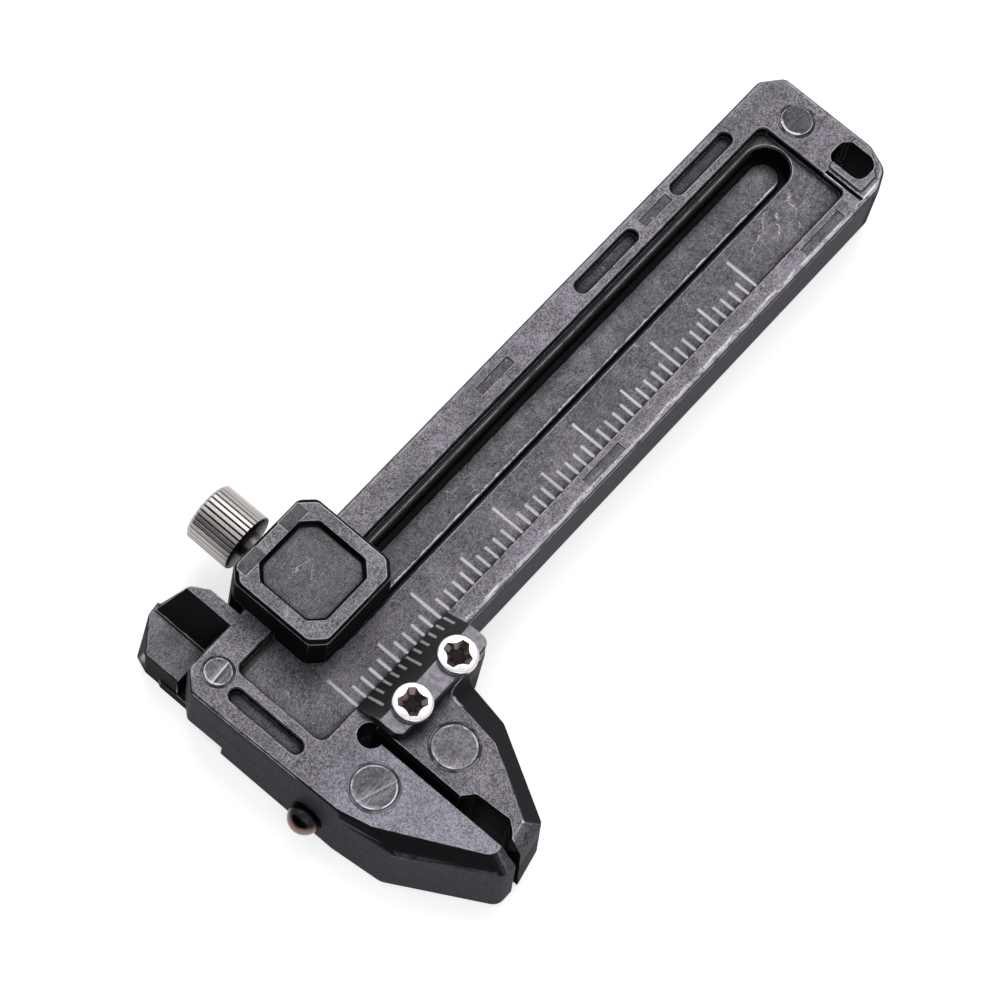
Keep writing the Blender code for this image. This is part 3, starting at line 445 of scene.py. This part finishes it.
    def edge_wear_and_glint(self, hollow_shade, reach):
        """How far the dark finish is rubbed off along edges, with a painted highlight added on the facets
        along the top of rounded edges.

        Seams, the foot of the part and the sides of the jaws keep more of it.
        """
        line = self.times(self.fade(self.edges(self.rounded), 0.012, 0.045),
                          self.fade(self.ragged, 0.5, 0.72, 0.12, 1.0))
        chips = self.plus(self.hollow(0.22, inside=True), self.fade(self.ragged, 0.55, 0.95, -0.25, 0.15))
        wear_and_glint = self.times(self.either(line, self.fade(chips, 0.3, 0.42)), self.fade(hollow_shade, 0.3, 0.05))
        seam = self.fade(self.off(self.z, PARTING_Z), 0.25, 0.5)
        wear_and_glint = self.times(wear_and_glint, self.times(seam, self.fade(self.z, 0.8, 2.5, 0.25, 1.0)))
        # Painted highlight, partly wear: narrow facets along the top of rounded edges, brighter where they
        # face -y.
        border_glint = self.times(self.fade(self.level, 0.91, 0.94), self.fade(self.level, 0.996, 0.986))
        border_glint = self.times(border_glint, self.fade(self.normal[1], 0.1, -0.15, 0.3, 0.8))
        wear_and_glint = self.either(wear_and_glint, self.times(border_glint, self.fade(self.ragged, 0.52, 0.74)))
        if self.part == "back":
            wobble = self.times(self.plus(self.noise(self.spot, 1.6, 4.0, 0.7), -0.5), 0.5)
            rib = self.times(self.fade(self.z, 4.3, 4.45), self.fade(self.plus(self.y, wobble), 0.4, 0.31))
            wear_and_glint = self.either(wear_and_glint, self.times(rib, self.fade(self.ragged, 0.45, 0.66, 0.08, 0.65)))
        if self.part == "slider":
            pad = self.times(self.fade(self.z, 10.2, 10.5), self.fade(self.edges(self.rounded), 0.008, 0.03))
            wear_and_glint = self.either(wear_and_glint, self.times(pad, self.fade(self.ragged, 0.45, 0.65, 0.25, 0.9)))
            wear_and_glint = self.times(wear_and_glint, self.either(self.fade(reach, 3.54, 3.58), self.fade(self.z, 10.2, 10.0)))
        jaws = self.either(self.times(self.fade(self.x, 11.0, 10.0), self.fade(self.y, -5.0, -5.5)),
                           self.fade(self.y, -7.0, -7.2))
        jaws = self.times(jaws, self.fade(self.z, 7.4, 7.2))
        wear_and_glint = self.times(wear_and_glint, self.fade(jaws, 0.0, 1.0, 1.0, 0.12))
        if self.part == "front":
            elsewhere = self.either(self.fade(self.off(self.x, NOTCH[0]), 0.2, 0.3),
                                    self.fade(self.y, -7.2, -6.9))
            wear_and_glint = self.times(wear_and_glint, elsewhere)
        return wear_and_glint


def gunmetal(name, part, wall=0.06, seed=0.0, violet=1.0, tone=1.0, rim_z=7.0, mark_z=30.0, bevel=0.004):
    """Tumbled dark casting: grainy flats with hairlines, smooth walls and bevels darker partly as painted
    shade, painted shade in hollows and between pieces, and edges lightened by wear and painted highlight.

    wall and bevel are the greys of upright and of slanting faces, tone scales the grey of level
    faces and violet tints it. Faces above rim_z are rubbed lighter, and shallow marks with their
    floor at mark_z are dull.
    """
    paint = Casting(name, seed, part)
    # Painted shade, in part: upright faces and slopes take darker greys than the level faces.
    base = paint.colours(paint.flat, paint.walls(wall, bevel), paint.metal(violet, tone, rim_z, mark_z))
    reach = None
    if part in ("front", "back"):
        base = paint.black_holes(base)
    if part == "front":
        base = paint.front_places(base)
    if part in ("jaw", "slider"):
        # Painted shade: walls facing -x inside the moving jaw's recess go black.
        inner = paint.times(paint.fade(paint.normal[0], -0.3, -0.6), paint.fade(paint.y, -6.9, -7.1))
        base = paint.colours(inner, base, shade(0.005))
    if part == "slider":
        reach = paint.pad_reach()
        base = paint.pad_places(base, reach)
    occlusion_shade = paint.occlusion_shade()
    # Painted shade: deep places and the gaps between pieces go nearly black.
    base = paint.colours(paint.times(occlusion_shade, 0.88), base, shade(0.005))
    # Painted shade in corners and creases: the small hollows go nearly black.
    hollow_shade = paint.fade(paint.hollow(0.5), 0.1, 0.42)
    base = paint.colours(paint.times(hollow_shade, 0.94), base, shade(0.004))
    if part == "front":
        base = paint.front_wear(base)
    # Edges lightened by wear and by painted highlight.
    wear_and_glint = paint.edge_wear_and_glint(hollow_shade, reach)
    paint.set("Base Color", paint.colours(paint.times(wear_and_glint, 0.9), base, shade(0.55, 0.6)))

    rough = paint.fade(paint.plus(paint.mottle, paint.times(wear_and_glint, -0.3)), 0.1, 0.8, 0.36, 0.55)
    matt = paint.times(paint.times(occlusion_shade, paint.fade(paint.level, 0.6, 0.4)), 0.95)
    slopes = paint.times(paint.times(paint.slope, paint.fade(paint.flat, 0.5, 0.0)), 0.62)
    paint.set("Roughness", paint.either(rough, paint.either(matt, slopes)))
    relief = paint.plus(paint.times(paint.mottle, 0.8), paint.times(paint.hair, -0.4))
    paint.bump(relief, 0.5, 0.04, paint.rounded)
    return paint.material


def blackened(name):
    """Sloping face in smooth black, with its level strip in gunmetal that shows wear."""
    paint = Paint(name, metallic=0.5)
    spot = paint.millimetres()
    upward = paint.split(paint.add("ShaderNodeTexCoord").outputs["Normal"])[2]
    flat = paint.fade(upward, 0.94, 0.985)
    grain = paint.noise(spot, 6.0, 3.0, 0.6)
    mottle = paint.noise(spot, 2.4, 5.0, 0.62)
    dark = paint.colours(paint.fade(grain, 0.35, 0.75), shade(0.007), shade(0.016))
    strip = paint.colours(paint.fade(mottle, 0.3, 0.72), shade(0.1, 0.6), shade(0.22, 1.2))
    base = paint.colours(flat, dark, strip)
    # Painted shade in the plate's corners and creases.
    hollow_shade = paint.fade(paint.hollow(0.5), 0.2, 0.7)
    base = paint.colours(paint.times(hollow_shade, 0.8), base, shade(0.005))
    rounded = paint.rounding(0.1)
    # Edges lightened by wear and by painted highlight.
    wear_and_glint = paint.times(paint.fade(paint.edges(rounded), 0.012, 0.045),
                       paint.fade(paint.noise(spot, 1.2, 4.0, 0.7), 0.45, 0.65, 0.05, 0.6))
    paint.set("Base Color", paint.colours(wear_and_glint, base, shade(0.35, 0.5)))
    paint.set("Roughness", paint.fade(grain, 0.2, 0.8, 0.34, 0.48))
    paint.bump(grain, 0.25, 0.012, rounded)
    return paint.material


def steel(name, colour, roughness, grain=(3.0, 3.0, 3.0), shade_reach=0.35, floor_z=-10.0):
    """Turned bright steel with fine brushed lines, slight stains and painted shade in its hollows.

    Below floor_z it is painted dark, as shade at the floor of a recess.
    """
    paint = Paint(name, metallic=1.0)
    spot = paint.millimetres()
    lines = paint.add("ShaderNodeMapping", {"Vector": spot, "Scale": grain}).outputs[0]
    brushed = paint.noise(lines, 2.0, 3.0, 0.6)
    blotches = paint.noise(spot, 0.9, 3.0, 0.6)
    base = paint.colours(paint.fade(brushed, 0.3, 0.7), tuple(c * 0.86 for c in colour), colour)
    base = paint.colours(paint.fade(blotches, 0.5, 0.75, 0.0, 0.22), base, tuple(c * 0.6 for c in colour))
    # Painted shade in the hollows, such as the knurl's grooves and the cross recesses.
    hollow_shade = paint.fade(paint.hollow(shade_reach), 0.25, 0.7)
    base = paint.colours(paint.times(hollow_shade, 0.85), base, (0.02, 0.016, 0.014))
    # Painted shade: below floor_z the floor of a recess goes near black.
    deep = paint.fade(paint.split(spot)[2], floor_z + 0.05, floor_z)
    paint.set("Base Color", paint.colours(deep, base, (0.008, 0.006, 0.006)))
    paint.set("Roughness", paint.fade(brushed, 0.2, 0.8, roughness * 0.85, roughness * 1.25))
    paint.bump(brushed, 0.15, 0.008)
    return paint.material


def ball_finish(name):
    """Dark polished steel, with a painted brown reflection round its foot."""
    paint = Paint(name, metallic=1.0)
    spot = paint.millimetres()
    blotches = paint.noise(spot, 1.6, 3.0, 0.6)
    upward = paint.split(paint.add("ShaderNodeTexCoord").outputs["Normal"])[2]
    # Painted reflection: the lower, outward-facing part of the ball turns warm brown.
    foot = paint.fade(paint.plus(upward, paint.times(blotches, 0.4)), 0.85, 0.45)
    paint.set("Base Color", paint.colours(foot, (0.02, 0.02, 0.022), (0.2, 0.135, 0.105)))
    paint.set("Roughness", paint.fade(blotches, 0.3, 0.7, 0.16, 0.24))
    return paint.material


def mark_fill(name, low, high):
    """Light grey of the etched scale marks, slightly uneven."""
    paint = Paint(name, metallic=0.35)
    spot = paint.millimetres()
    grain = paint.plus(paint.times(paint.noise(spot, 7.0, 3.0, 0.6), 0.6),
                       paint.times(paint.noise(spot, 0.25, 2.0), 0.4))
    paint.set("Base Color", paint.colours(paint.fade(grain, 0.35, 0.65), shade(low, 0.6), shade(high, 0.6)))
    paint.set("Roughness", paint.fade(grain, 0.2, 0.8, 0.45, 0.65))
    return paint.material


def post_finish(name, x, y, radius, turn, tone, rub, slash, rim):
    """Head of a pressed post: dark ring of painted shade at its rim, a bright ring inside it with a painted
    highlight on one side, and a rubbed band.

    turn is the band's direction in degrees, tone the brightness of the head and rub that of the
    band. slash says how deep the groove scratched across the head is, and rim how bright the
    painted highlight is on the rim's -x side.
    """
    paint = Paint(name, metallic=0.8)
    spot = paint.millimetres()
    centre = place(x, y, 0) / MM
    off = paint.add("ShaderNodeVectorMath", {0: spot, 1: (centre.x, centre.y, 0)},
                    operation="SUBTRACT").outputs[0]
    off_x, off_y, _ = paint.split(off)
    away = paint.calc("SQRT", paint.plus(paint.calc("POWER", off_x, 2.0), paint.calc("POWER", off_y, 2.0)))
    share = paint.calc("DIVIDE", away, radius)
    moved = paint.moved(spot, (turn, turn * 1.3, 0))
    grain = paint.noise(moved, 4.6, 4.0, 0.75)
    blotch = paint.noise(moved, 0.9, 2.0)
    base = paint.colours(paint.fade(grain, 0.36, 0.64), shade(0.04 * tone, 0.9), shade(0.13 * tone, 0.9))
    base = paint.colours(paint.fade(blotch, 0.45, 0.65, 0.0, 0.5), base, shade(0.03 * tone, 0.9))
    across = (math.sin(math.radians(turn)), -math.cos(math.radians(turn)), 0)
    band = paint.dot(off, across)
    streak = paint.fade(paint.noise(paint.stretched(moved, -turn, 0.25, 5.0), 1.0, 3.0, 0.6), 0.42, 0.6)
    streak = paint.times(streak, paint.near(band, 0.2 * radius, radius * 0.45, radius * 0.2))
    base = paint.colours(paint.times(streak, rub), base, shade(0.4, 0.8))
    groove = paint.near(band, 0.28 * radius, 0.16, 0.06)
    base = paint.colours(paint.times(groove, slash), base, shade(0.012))
    ledge = paint.near(band, 0.28 * radius - 0.2, 0.1, 0.04)
    base = paint.colours(paint.times(ledge, slash * 0.8), base, shade(0.45, 0.7))
    ring = paint.times(paint.near(share, 0.88, 0.04, 0.015),
                       paint.fade(paint.plus(blotch, paint.times(grain, 0.4)), 0.62, 0.82, 0.1, 0.8))
    # Painted highlight: a bright crescent on the rim's -x side.
    crescent_highlight = paint.times(paint.near(share, 0.84, 0.1, 0.04),
                           paint.fade(off_x, -0.4 * radius, -0.65 * radius))
    crescent_highlight = paint.times(crescent_highlight, paint.fade(grain, 0.36, 0.52, 0.4 * rim, rim))
    ring = paint.either(paint.times(ring, min(1.0, tone)), crescent_highlight)
    base = paint.colours(ring, base, shade(0.48, 0.7))
    # Painted shade: the head darkens to near black at its outer edge, by the gap round the post.
    base = paint.colours(paint.fade(share, 0.93, 0.98), base, shade(0.02))
    paint.set("Base Color", base)
    paint.set("Roughness", paint.fade(grain, 0.2, 0.8, 0.34, 0.5))
    paint.bump(grain, 0.35, 0.03)
    return paint.material


def lip_finish(name):
    """Cast metal pressed up round the posts: dark, with rubbed lengths."""
    paint = Paint(name, metallic=0.75)
    spot = paint.millimetres()
    grain = paint.noise(spot, 6.0, 3.0, 0.7)
    blotch = paint.plus(paint.noise(spot, 0.5, 3.0, 0.6), paint.times(grain, 0.2))
    paint.set("Base Color", paint.colours(paint.fade(blotch, 0.52, 0.7), shade(0.02, 0.8), shade(0.16, 0.8)))
    paint.set("Roughness", paint.fade(grain, 0.2, 0.8, 0.4, 0.55))
    paint.bump(grain, 0.3, 0.02)
    return paint.material


def brass(name):
    """Plain brass of the inner sliding pieces."""
    paint = Paint(name, metallic=1.0)
    grain = paint.noise(paint.millimetres(), 5.0, 3.0, 0.6)
    paint.set("Base Color", paint.colours(grain, (0.38, 0.27, 0.12), (0.55, 0.42, 0.2)))
    paint.set("Roughness", paint.fade(grain, 0.2, 0.8, 0.3, 0.45))
    return paint.material


def dress(names, material):
    """Gives CAD nodes a material, smooth shading and hard edges."""
    for name in names:
        obj = nodes[name]
        obj.data.materials.clear()
        obj.data.materials.append(material)
        for face in obj.data.polygons:
            face.use_smooth = True
        weld = obj.modifiers.new("weld", "WELD")
        weld.merge_threshold = 1e-6
        split = obj.modifiers.new("edges", "EDGE_SPLIT")
        split.split_angle = SHARP
        obj.modifiers.new("normals", "WEIGHTED_NORMAL").keep_sharp = True


def bars(name, rows, material, body):
    """One piece of thin bars: each row is the four corners of a bar's top and its thickness down."""
    mesh = bpy.data.meshes.new(name)
    work = bmesh.new()
    for corners, down in rows:
        top = [work.verts.new(c) for c in corners]
        low = [work.verts.new(Vector(c) - Vector(down)) for c in corners]
        work.faces.new(top)
        work.faces.new(low[::-1])
        for k in range(4):
            work.faces.new((top[k], low[k], low[k - 3], top[k - 3]))
    bmesh.ops.recalc_face_normals(work, faces=work.faces)
    work.to_mesh(mesh)
    work.free()
    mesh.materials.append(material)
    obj = bpy.data.objects.new(name, mesh)
    bpy.context.scene.collection.objects.link(obj)
    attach(obj, body)
    return obj


def mesh_piece(name, work, material, body, slot, *replaced):
    """Turns a bmesh into a smooth piece that rides on a body and stands for the given nodes."""
    mesh = bpy.data.meshes.new(name)
    bmesh.ops.recalc_face_normals(work, faces=work.faces)
    work.to_mesh(mesh)
    work.free()
    mesh.shade_smooth()
    mesh.set_sharp_from_angle(angle=SHARP)
    mesh.materials.append(material)
    obj = bpy.data.objects.new(name, mesh)
    bpy.context.scene.collection.objects.link(obj)
    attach(obj, body)
    if replaced:
        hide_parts(*replaced)
    return obj


def turned(profile, centre, steps, along="Z", shape=None, hollow=False):
    """A solid turned from (radius, height) pairs in millimetres, or a ring when hollow is true.

    shape may change a point's radius.
    """
    work = bmesh.new()
    rings = []
    for radius, height in profile:
        ring = []
        for k in range(steps):
            a = 2 * math.pi * k / steps
            r = shape(k, radius, height) if shape else radius
            across, up = r * math.cos(a), r * math.sin(a)
            if along == "Z":
                spot = place(centre[0] + across, centre[1] + up, height)
            else:
                spot = place(centre[0] + across, height, centre[1] + up)
            ring.append(work.verts.new(spot))
        rings.append(ring)
    for low, high in zip(rings, rings[1:]):
        for k in range(steps):
            n = (k + 1) % steps
            work.faces.new((low[k], low[n], high[n], high[k]))
    if hollow:
        for k in range(steps):
            n = (k + 1) % steps
            work.faces.new((rings[-1][k], rings[-1][n], rings[0][n], rings[0][k]))
    else:
        work.faces.new(rings[0][::-1])
        work.faces.new(rings[-1])
    return work


def lips(material):
    """Raised lips of cast metal that were pressed up round each post's head."""
    for name, x, y, radius, turn in POSTS:
        def uneven(k, r, height):
            return r + 0.015 * math.sin(k * 0.39 + turn) + 0.01 * math.sin(k * 1.1 + 2 * turn)

        profile = [(radius - 0.1, POST_TOP_Z)]
        profile += [(radius + 0.02 - 0.11 * math.cos(a), POST_TOP_Z + 0.08 * math.sin(a))
                    for a in (0.5, 1.0, 1.57, 2.1, 2.6)]
        profile += [(radius + 0.14, POST_TOP_Z)]
        body = "slider" if name == "moving_jaw_post" else "frame"
        ring = turned(profile, (x, y), 64, shape=uneven, hollow=True)
        mesh_piece(name + "_lip", ring, material, body, "gunmetal")


def carved(obj, cutter_work, inner):
    """Cuts a closed bmesh out of a piece; the cut faces take the inner material."""
    mesh = bpy.data.meshes.new(obj.name + "_cutter")
    for face in cutter_work.faces:
        face.material_index = 1
    bmesh.ops.recalc_face_normals(cutter_work, faces=cutter_work.faces)
    cutter_work.to_mesh(mesh)
    cutter_work.free()
    obj.data.materials.append(inner)
    for material in obj.data.materials:
        mesh.materials.append(material)
    cutter = bpy.data.objects.new(obj.name + "_cutter", mesh)
    bpy.context.scene.collection.objects.link(cutter)
    step = obj.modifiers.new("cut", "BOOLEAN")
    step.operation = "DIFFERENCE"
    step.solver = "EXACT"
    step.object = cutter
    bpy.context.view_layer.update()
    result = bpy.data.meshes.new_from_object(obj.evaluated_get(bpy.context.evaluated_depsgraph_get()))
    obj.modifiers.clear()
    obj.data = result
    result.set_sharp_from_angle(angle=SHARP)
    bpy.data.objects.remove(cutter)


def taper(work, low, high):
    """Adds a closed solid between two matching outlines of (x, y, z) points."""
    bottom = [work.verts.new(p) for p in low]
    top = [work.verts.new(p) for p in high]
    work.faces.new(bottom[::-1])
    work.faces.new(top)
    count = len(low)
    for k in range(count):
        n = (k + 1) % count
        work.faces.new((bottom[k], bottom[n], top[n], top[k]))


def key_piece(material):
    """The slide key, a little shorter at both ends, so that it stays clear of the slot's ends."""
    steps = 16
    outline = []
    for middle, start in ((KEY_X[1] - KEY_R, -90), (KEY_X[0] + KEY_R, 90)):
        for k in range(steps + 1):
            angle = math.radians(start + k * 180 / steps)
            outline.append(((middle + KEY_R * math.cos(angle)) * MM, (KEY_Y + KEY_R * math.sin(angle)) * MM))
    work = bmesh.new()
    low, high = ([(x, y, z * MM) for x, y in outline] for z in KEY_Z)
    taper(work, low, high)
    mesh_piece("slide_key_short", work, material, "slider", "brass", "slide_key")


def cross_recess(x, y, turn, top_z):
    """Cutter for a cross recess: four wings that narrow downwards, and a round heart between them."""
    work = bmesh.new()

    def outline(reach, half_width, heart, z):
        points = []
        for quarter in range(4):
            base = math.radians(turn) + quarter * math.pi / 2
            inner = base + math.pi / 4
            points += [(reach, -half_width, base), (reach, half_width, base),
                       (heart, -half_width * 0.6, inner), (heart, half_width * 0.6, inner)]
        return [place(x + a * math.cos(b) - c * math.sin(b), y + a * math.sin(b) + c * math.cos(b), z)
                for a, c, b in points]

    taper(work, outline(0.62, 0.16, 0.4, top_z - 0.5), outline(1.32, 0.34, 0.98, top_z + 0.05))
    return work


def screw_pieces(material, inner):
    """The vernier's two screws, with rounded heads and cross recesses in the inner material."""
    seat, r = SCREW_SEAT_Z, SCREW_R
    shank_r, shank_end = 0.8, seat - 5.0
    side_top, curve = seat + 0.28, 0.22
    top = seat + 0.56
    profile = [(shank_r, shank_end), (shank_r, seat - 0.3), (r - 0.1, seat), (r, seat + 0.06), (r, side_top)]
    profile += [(r - curve * (1 - math.cos(a)), side_top + curve * math.sin(a))
                for a in (0.4, 0.8, 1.2, 1.57)]
    profile += [(0.9, top - 0.01), (0.4, top)]
    for side, x, turn in zip(("left", "right"), SCREW_XS, SCREW_TURNS):
        head = mesh_piece(f"screw_{side}", turned(profile, (x, SCREW_Y), 96), material, "slider", "nickel",
                          f"vernier_screw_{side}")
        carved(head, cross_recess(x, SCREW_Y, turn, top), inner)


def knob_piece(material, neck):
    """Lock screw with straight flat-topped ridges, chamfered ends and a thin neck."""
    low, high = (v[1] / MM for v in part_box("lock_screw"))
    shoulder = high - KNOB_LENGTH
    tip_r, neck_r = 0.7, 1.2
    groove_depth = 0.17
    per_ridge = 10

    def ridged(k, radius, height):
        if radius < KNOB_R - 0.1:
            return radius
        phase = (k % per_ridge) / per_ridge
        return radius - groove_depth * max(0.0, 1.0 - abs(phase - 0.5) * 5.5)

    profile = [(tip_r, low), (neck_r, low + 0.5), (neck_r, shoulder), (KNOB_R - 0.3, shoulder + 0.02),
               (KNOB_R - 0.08, shoulder + 0.08), (KNOB_R, shoulder + 0.18), (KNOB_R, high - 0.34),
               (KNOB_R - 0.02, high - 0.28), (KNOB_R - 0.3, high - 0.06), (KNOB_R - 0.9, high)]
    knob = mesh_piece("knob", turned(profile, (KNOB_X, KNOB_Z), KNOB_RIDGES * per_ridge, "Y", ridged),
                      material, "lock_screw", "bright_steel", "lock_screw")
    # Painted shade: the neck and the end face by the cap take the darker neck steel.
    knob.data.materials.append(neck)
    for face in knob.data.polygons:
        if face.center.y < (shoulder + 0.2) * MM:
            face.material_index = 1


def ball_piece(material):
    """The bumper ball, round where the solid has facets."""
    x, y, z = BALL
    steps = 48
    angles = [math.pi * k / steps for k in range(1, steps)]
    profile = [(BALL_R * math.sin(a), z - BALL_R * math.cos(a)) for a in angles]
    mesh_piece("ball", turned(profile, (x, y), 2 * steps), material, "frame", "bright_steel", "breaker_ball")


def scale_bars(material):
    """Grey fill in the grooves of the main scale."""
    rows = []
    half_width = MARK_WIDTH / 2 - FILL_GAP
    top = FIELD_Z - FILL_SUNK
    for i in range(SCALE_MARKS):
        length = MARK_LENGTHS[0 if i % 10 == 0 else 1 if i % 5 == 0 else 2]
        low, high = FIELD_LOW_Y + FILL_START, FIELD_LOW_Y + length + FILL_END
        rows.append(([place(i - half_width, low, top), place(i + half_width, low, top),
                      place(i + half_width, high, top), place(i - half_width, high, top)],
                     (0, 0, (MARK_DEPTH - 0.025) * MM)))
    bars("scale_fill", rows, material, "frame")


def vernier_bars(material):
    """Grey fill in the grooves of the sloping vernier scale."""
    rows = []
    half_width = MARK_WIDTH / 2 - FILL_GAP
    edge_y, edge_z = VERNIER_EDGE
    for i in range(VERNIER_MARKS):
        x = VERNIER_FIRST_X + i * VERNIER_PITCH
        length = VERNIER_LENGTHS[0 if i in (0, 5) else 1 if i == 10 else 2]
        spots = []
        for dx, run in ((-half_width, FILL_START), (half_width, FILL_START), (half_width, FILL_END + length),
                        (-half_width, FILL_END + length)):
            spots.append(place(x + dx, edge_y - run, edge_z + run * VERNIER_SLOPE - FILL_SUNK))
        rows.append((spots, (0, 0, (MARK_DEPTH - 0.03) * MM)))
    bars("vernier_fill", rows, material, "slider")


def camera():
    """The photo's camera, as fitted to the marks of its scale."""
    data = bpy.data.cameras.new("camera")
    data.lens = 149.2766
    data.sensor_width = 36.0
    data.clip_start = 0.01
    data.clip_end = 10.0
    obj = bpy.data.objects.new("camera", data)
    obj.location = (-0.094994, -0.060975, 0.309440)
    obj.rotation_euler = Euler([math.radians(a) for a in (23.13888905, -6.16700472, -49.66306902)])
    bpy.context.scene.collection.objects.link(obj)
    bpy.context.scene.camera = obj


def seen_rays(tree):
    """1 for rays that come from the camera, a mirror or glass, and 0 for light bouncing about."""
    path = tree.nodes.new("ShaderNodeLightPath")
    total = path.outputs["Is Camera Ray"]
    for name in ("Is Glossy Ray", "Is Transmission Ray"):
        step = tree.nodes.new("ShaderNodeMath")
        step.operation = "MAXIMUM"
        tree.links.new(total, step.inputs[0])
        tree.links.new(path.outputs[name], step.inputs[1])
        total = step.outputs[0]
    return total


def world():
    """White surroundings that light the object less than they show."""
    made = bpy.data.worlds.new("studio")
    bpy.context.scene.world = made
    made.use_nodes = True
    tree = made.node_tree
    shader = tree.nodes["Background"]
    shader.inputs["Color"].default_value = (1.0, 1.0, 1.0, 1.0)
    strength = tree.nodes.new("ShaderNodeMix")
    strength.data_type = "FLOAT"
    tree.links.new(seen_rays(tree), strength.inputs[0])
    strength.inputs[2].default_value = WORLD_LIGHT
    strength.inputs[3].default_value = 1.0
    tree.links.new(strength.outputs[0], shader.inputs["Strength"])


def floor():
    """A pale floor at the object's feet, bright enough to read as the photo's white ground."""
    mesh = bpy.data.meshes.new("floor")
    r = FLOOR_REACH
    mesh.from_pydata([(-r, -r, 0), (r, -r, 0), (r, r, 0), (-r, r, 0)], [], [(0, 1, 2, 3)])
    obj = bpy.data.objects.new("floor", mesh)
    obj.location.z = FLOOR_Z
    bpy.context.scene.collection.objects.link(obj)
    mesh.materials.append(floor_material())


def floor_material():
    """White floor: seen by the camera it is lifted towards the background's white, with its shadow kept."""
    paint = Paint("floor_white", roughness=0.9)
    paint.set("Specular IOR Level", 0.0)
    paint.set("Base Color", (0.8, 0.8, 0.8, 1.0))
    paint.set("Emission Color", (1.0, 1.0, 1.0, 1.0))
    paint.set("Emission Strength", paint.times(seen_rays(paint.tree), FLOOR_LIFT))
    return paint.material


def dark_card():
    """Black card beside the object, seen only in its reflections: along the ground and then up."""
    mesh = bpy.data.meshes.new("dark_card")
    corners = [(CARD_NEAR_X, CARD_LOW_Y, CARD_LOW_Z), (CARD_NEAR_X, CARD_HIGH_Y, CARD_LOW_Z),
               (CARD_BEND_X, CARD_HIGH_Y, CARD_LOW_Z), (CARD_BEND_X, CARD_LOW_Y, CARD_LOW_Z),
               (CARD_FAR_X, CARD_HIGH_Y, CARD_HIGH_Z), (CARD_FAR_X, CARD_LOW_Y, CARD_HIGH_Z)]
    mesh.from_pydata(corners, [], [(0, 1, 2, 3), (3, 2, 4, 5)])
    paint = Paint("black_card", roughness=0.9)
    paint.set("Base Color", (0.01, 0.01, 0.01, 1.0))
    mesh.materials.append(paint.material)
    obj = bpy.data.objects.new("dark_card", mesh)
    obj.visible_camera = False
    obj.visible_shadow = False
    obj.visible_diffuse = False
    bpy.context.scene.collection.objects.link(obj)


def lamp(name, spot, size, power):
    """A square soft light aimed at the object."""
    data = bpy.data.lights.new(name, "AREA")
    data.shape = "SQUARE"
    data.size = size
    data.energy = power
    obj = bpy.data.objects.new(name, data)
    obj.location = spot
    obj.rotation_euler = (Vector(LAMP_AIM) - Vector(spot)).to_track_quat("-Z", "Y").to_euler()
    bpy.context.scene.collection.objects.link(obj)


gunmetal_front = gunmetal("gunmetal_front", "front", mark_z=7.42)
gunmetal_back = gunmetal("gunmetal_back", "back", violet=0.8, tone=1.08, seed=19.0, rim_z=20.0)
gunmetal_slider = gunmetal("gunmetal_slider", "slider", wall=0.01, violet=0.6, seed=31.0, rim_z=10.4,
                           mark_z=10.68)
gunmetal_jaw = gunmetal("gunmetal_jaw", "jaw", seed=53.0, bevel=0.02)
bright = steel("bright_steel", (0.42, 0.4, 0.395), 0.3)
ball_metal = ball_finish("ball_metal")
nickel = steel("nickel_plate", (0.7, 0.69, 0.69), 0.24, grain=(1.0, 1.0, 1.0), shade_reach=0.1)
# Painted shade: a darker, brownish copy of the screw steel for the cross recesses, black at their floor.
recess = steel("recess_shade_steel", (0.2, 0.165, 0.155), 0.25, shade_reach=0.3, floor_z=SCREW_SEAT_Z + 0.1)

dress(["front_frame"], gunmetal_front)
dress(["back_frame"], gunmetal_back)
dress(["slider_cap", "slider_back"], gunmetal_slider)
dress(["moving_jaw_front"], gunmetal_jaw)
for (post, *spot), looks in zip(POSTS, POST_LOOKS):
    dress([post], post_finish(post + "_finish", *spot, *looks))
dress(["vernier_plate"], blackened("vernier_finish"))
dress(["cap_screw_left", "cap_screw_right"], bright)
brass_metal = brass("brass")
dress(["gib_strip"], brass_metal)
key_piece(brass_metal)
lips(lip_finish("lip_metal"))
screw_pieces(nickel, recess)
knob_piece(steel("knob_steel", (0.47, 0.435, 0.43), 0.38),
           steel("neck_shade_steel", (0.12, 0.11, 0.105), 0.32))
ball_piece(ball_metal)
scale_bars(mark_fill("scale_grey", 0.36, 0.6))
vernier_bars(mark_fill("vernier_grey", 0.22, 0.4))

camera()
world()
floor()
dark_card()
lamp("key", (0.25, 0.15, 0.45), 0.35, 1.1)
lamp("glint", (-0.07, 0.3, 0.42), 0.05, 0.1)
lamp("fill", (-0.3, -0.25, 0.4), 0.4, 0.5)

bpy.context.scene.view_settings.view_transform = "Standard"
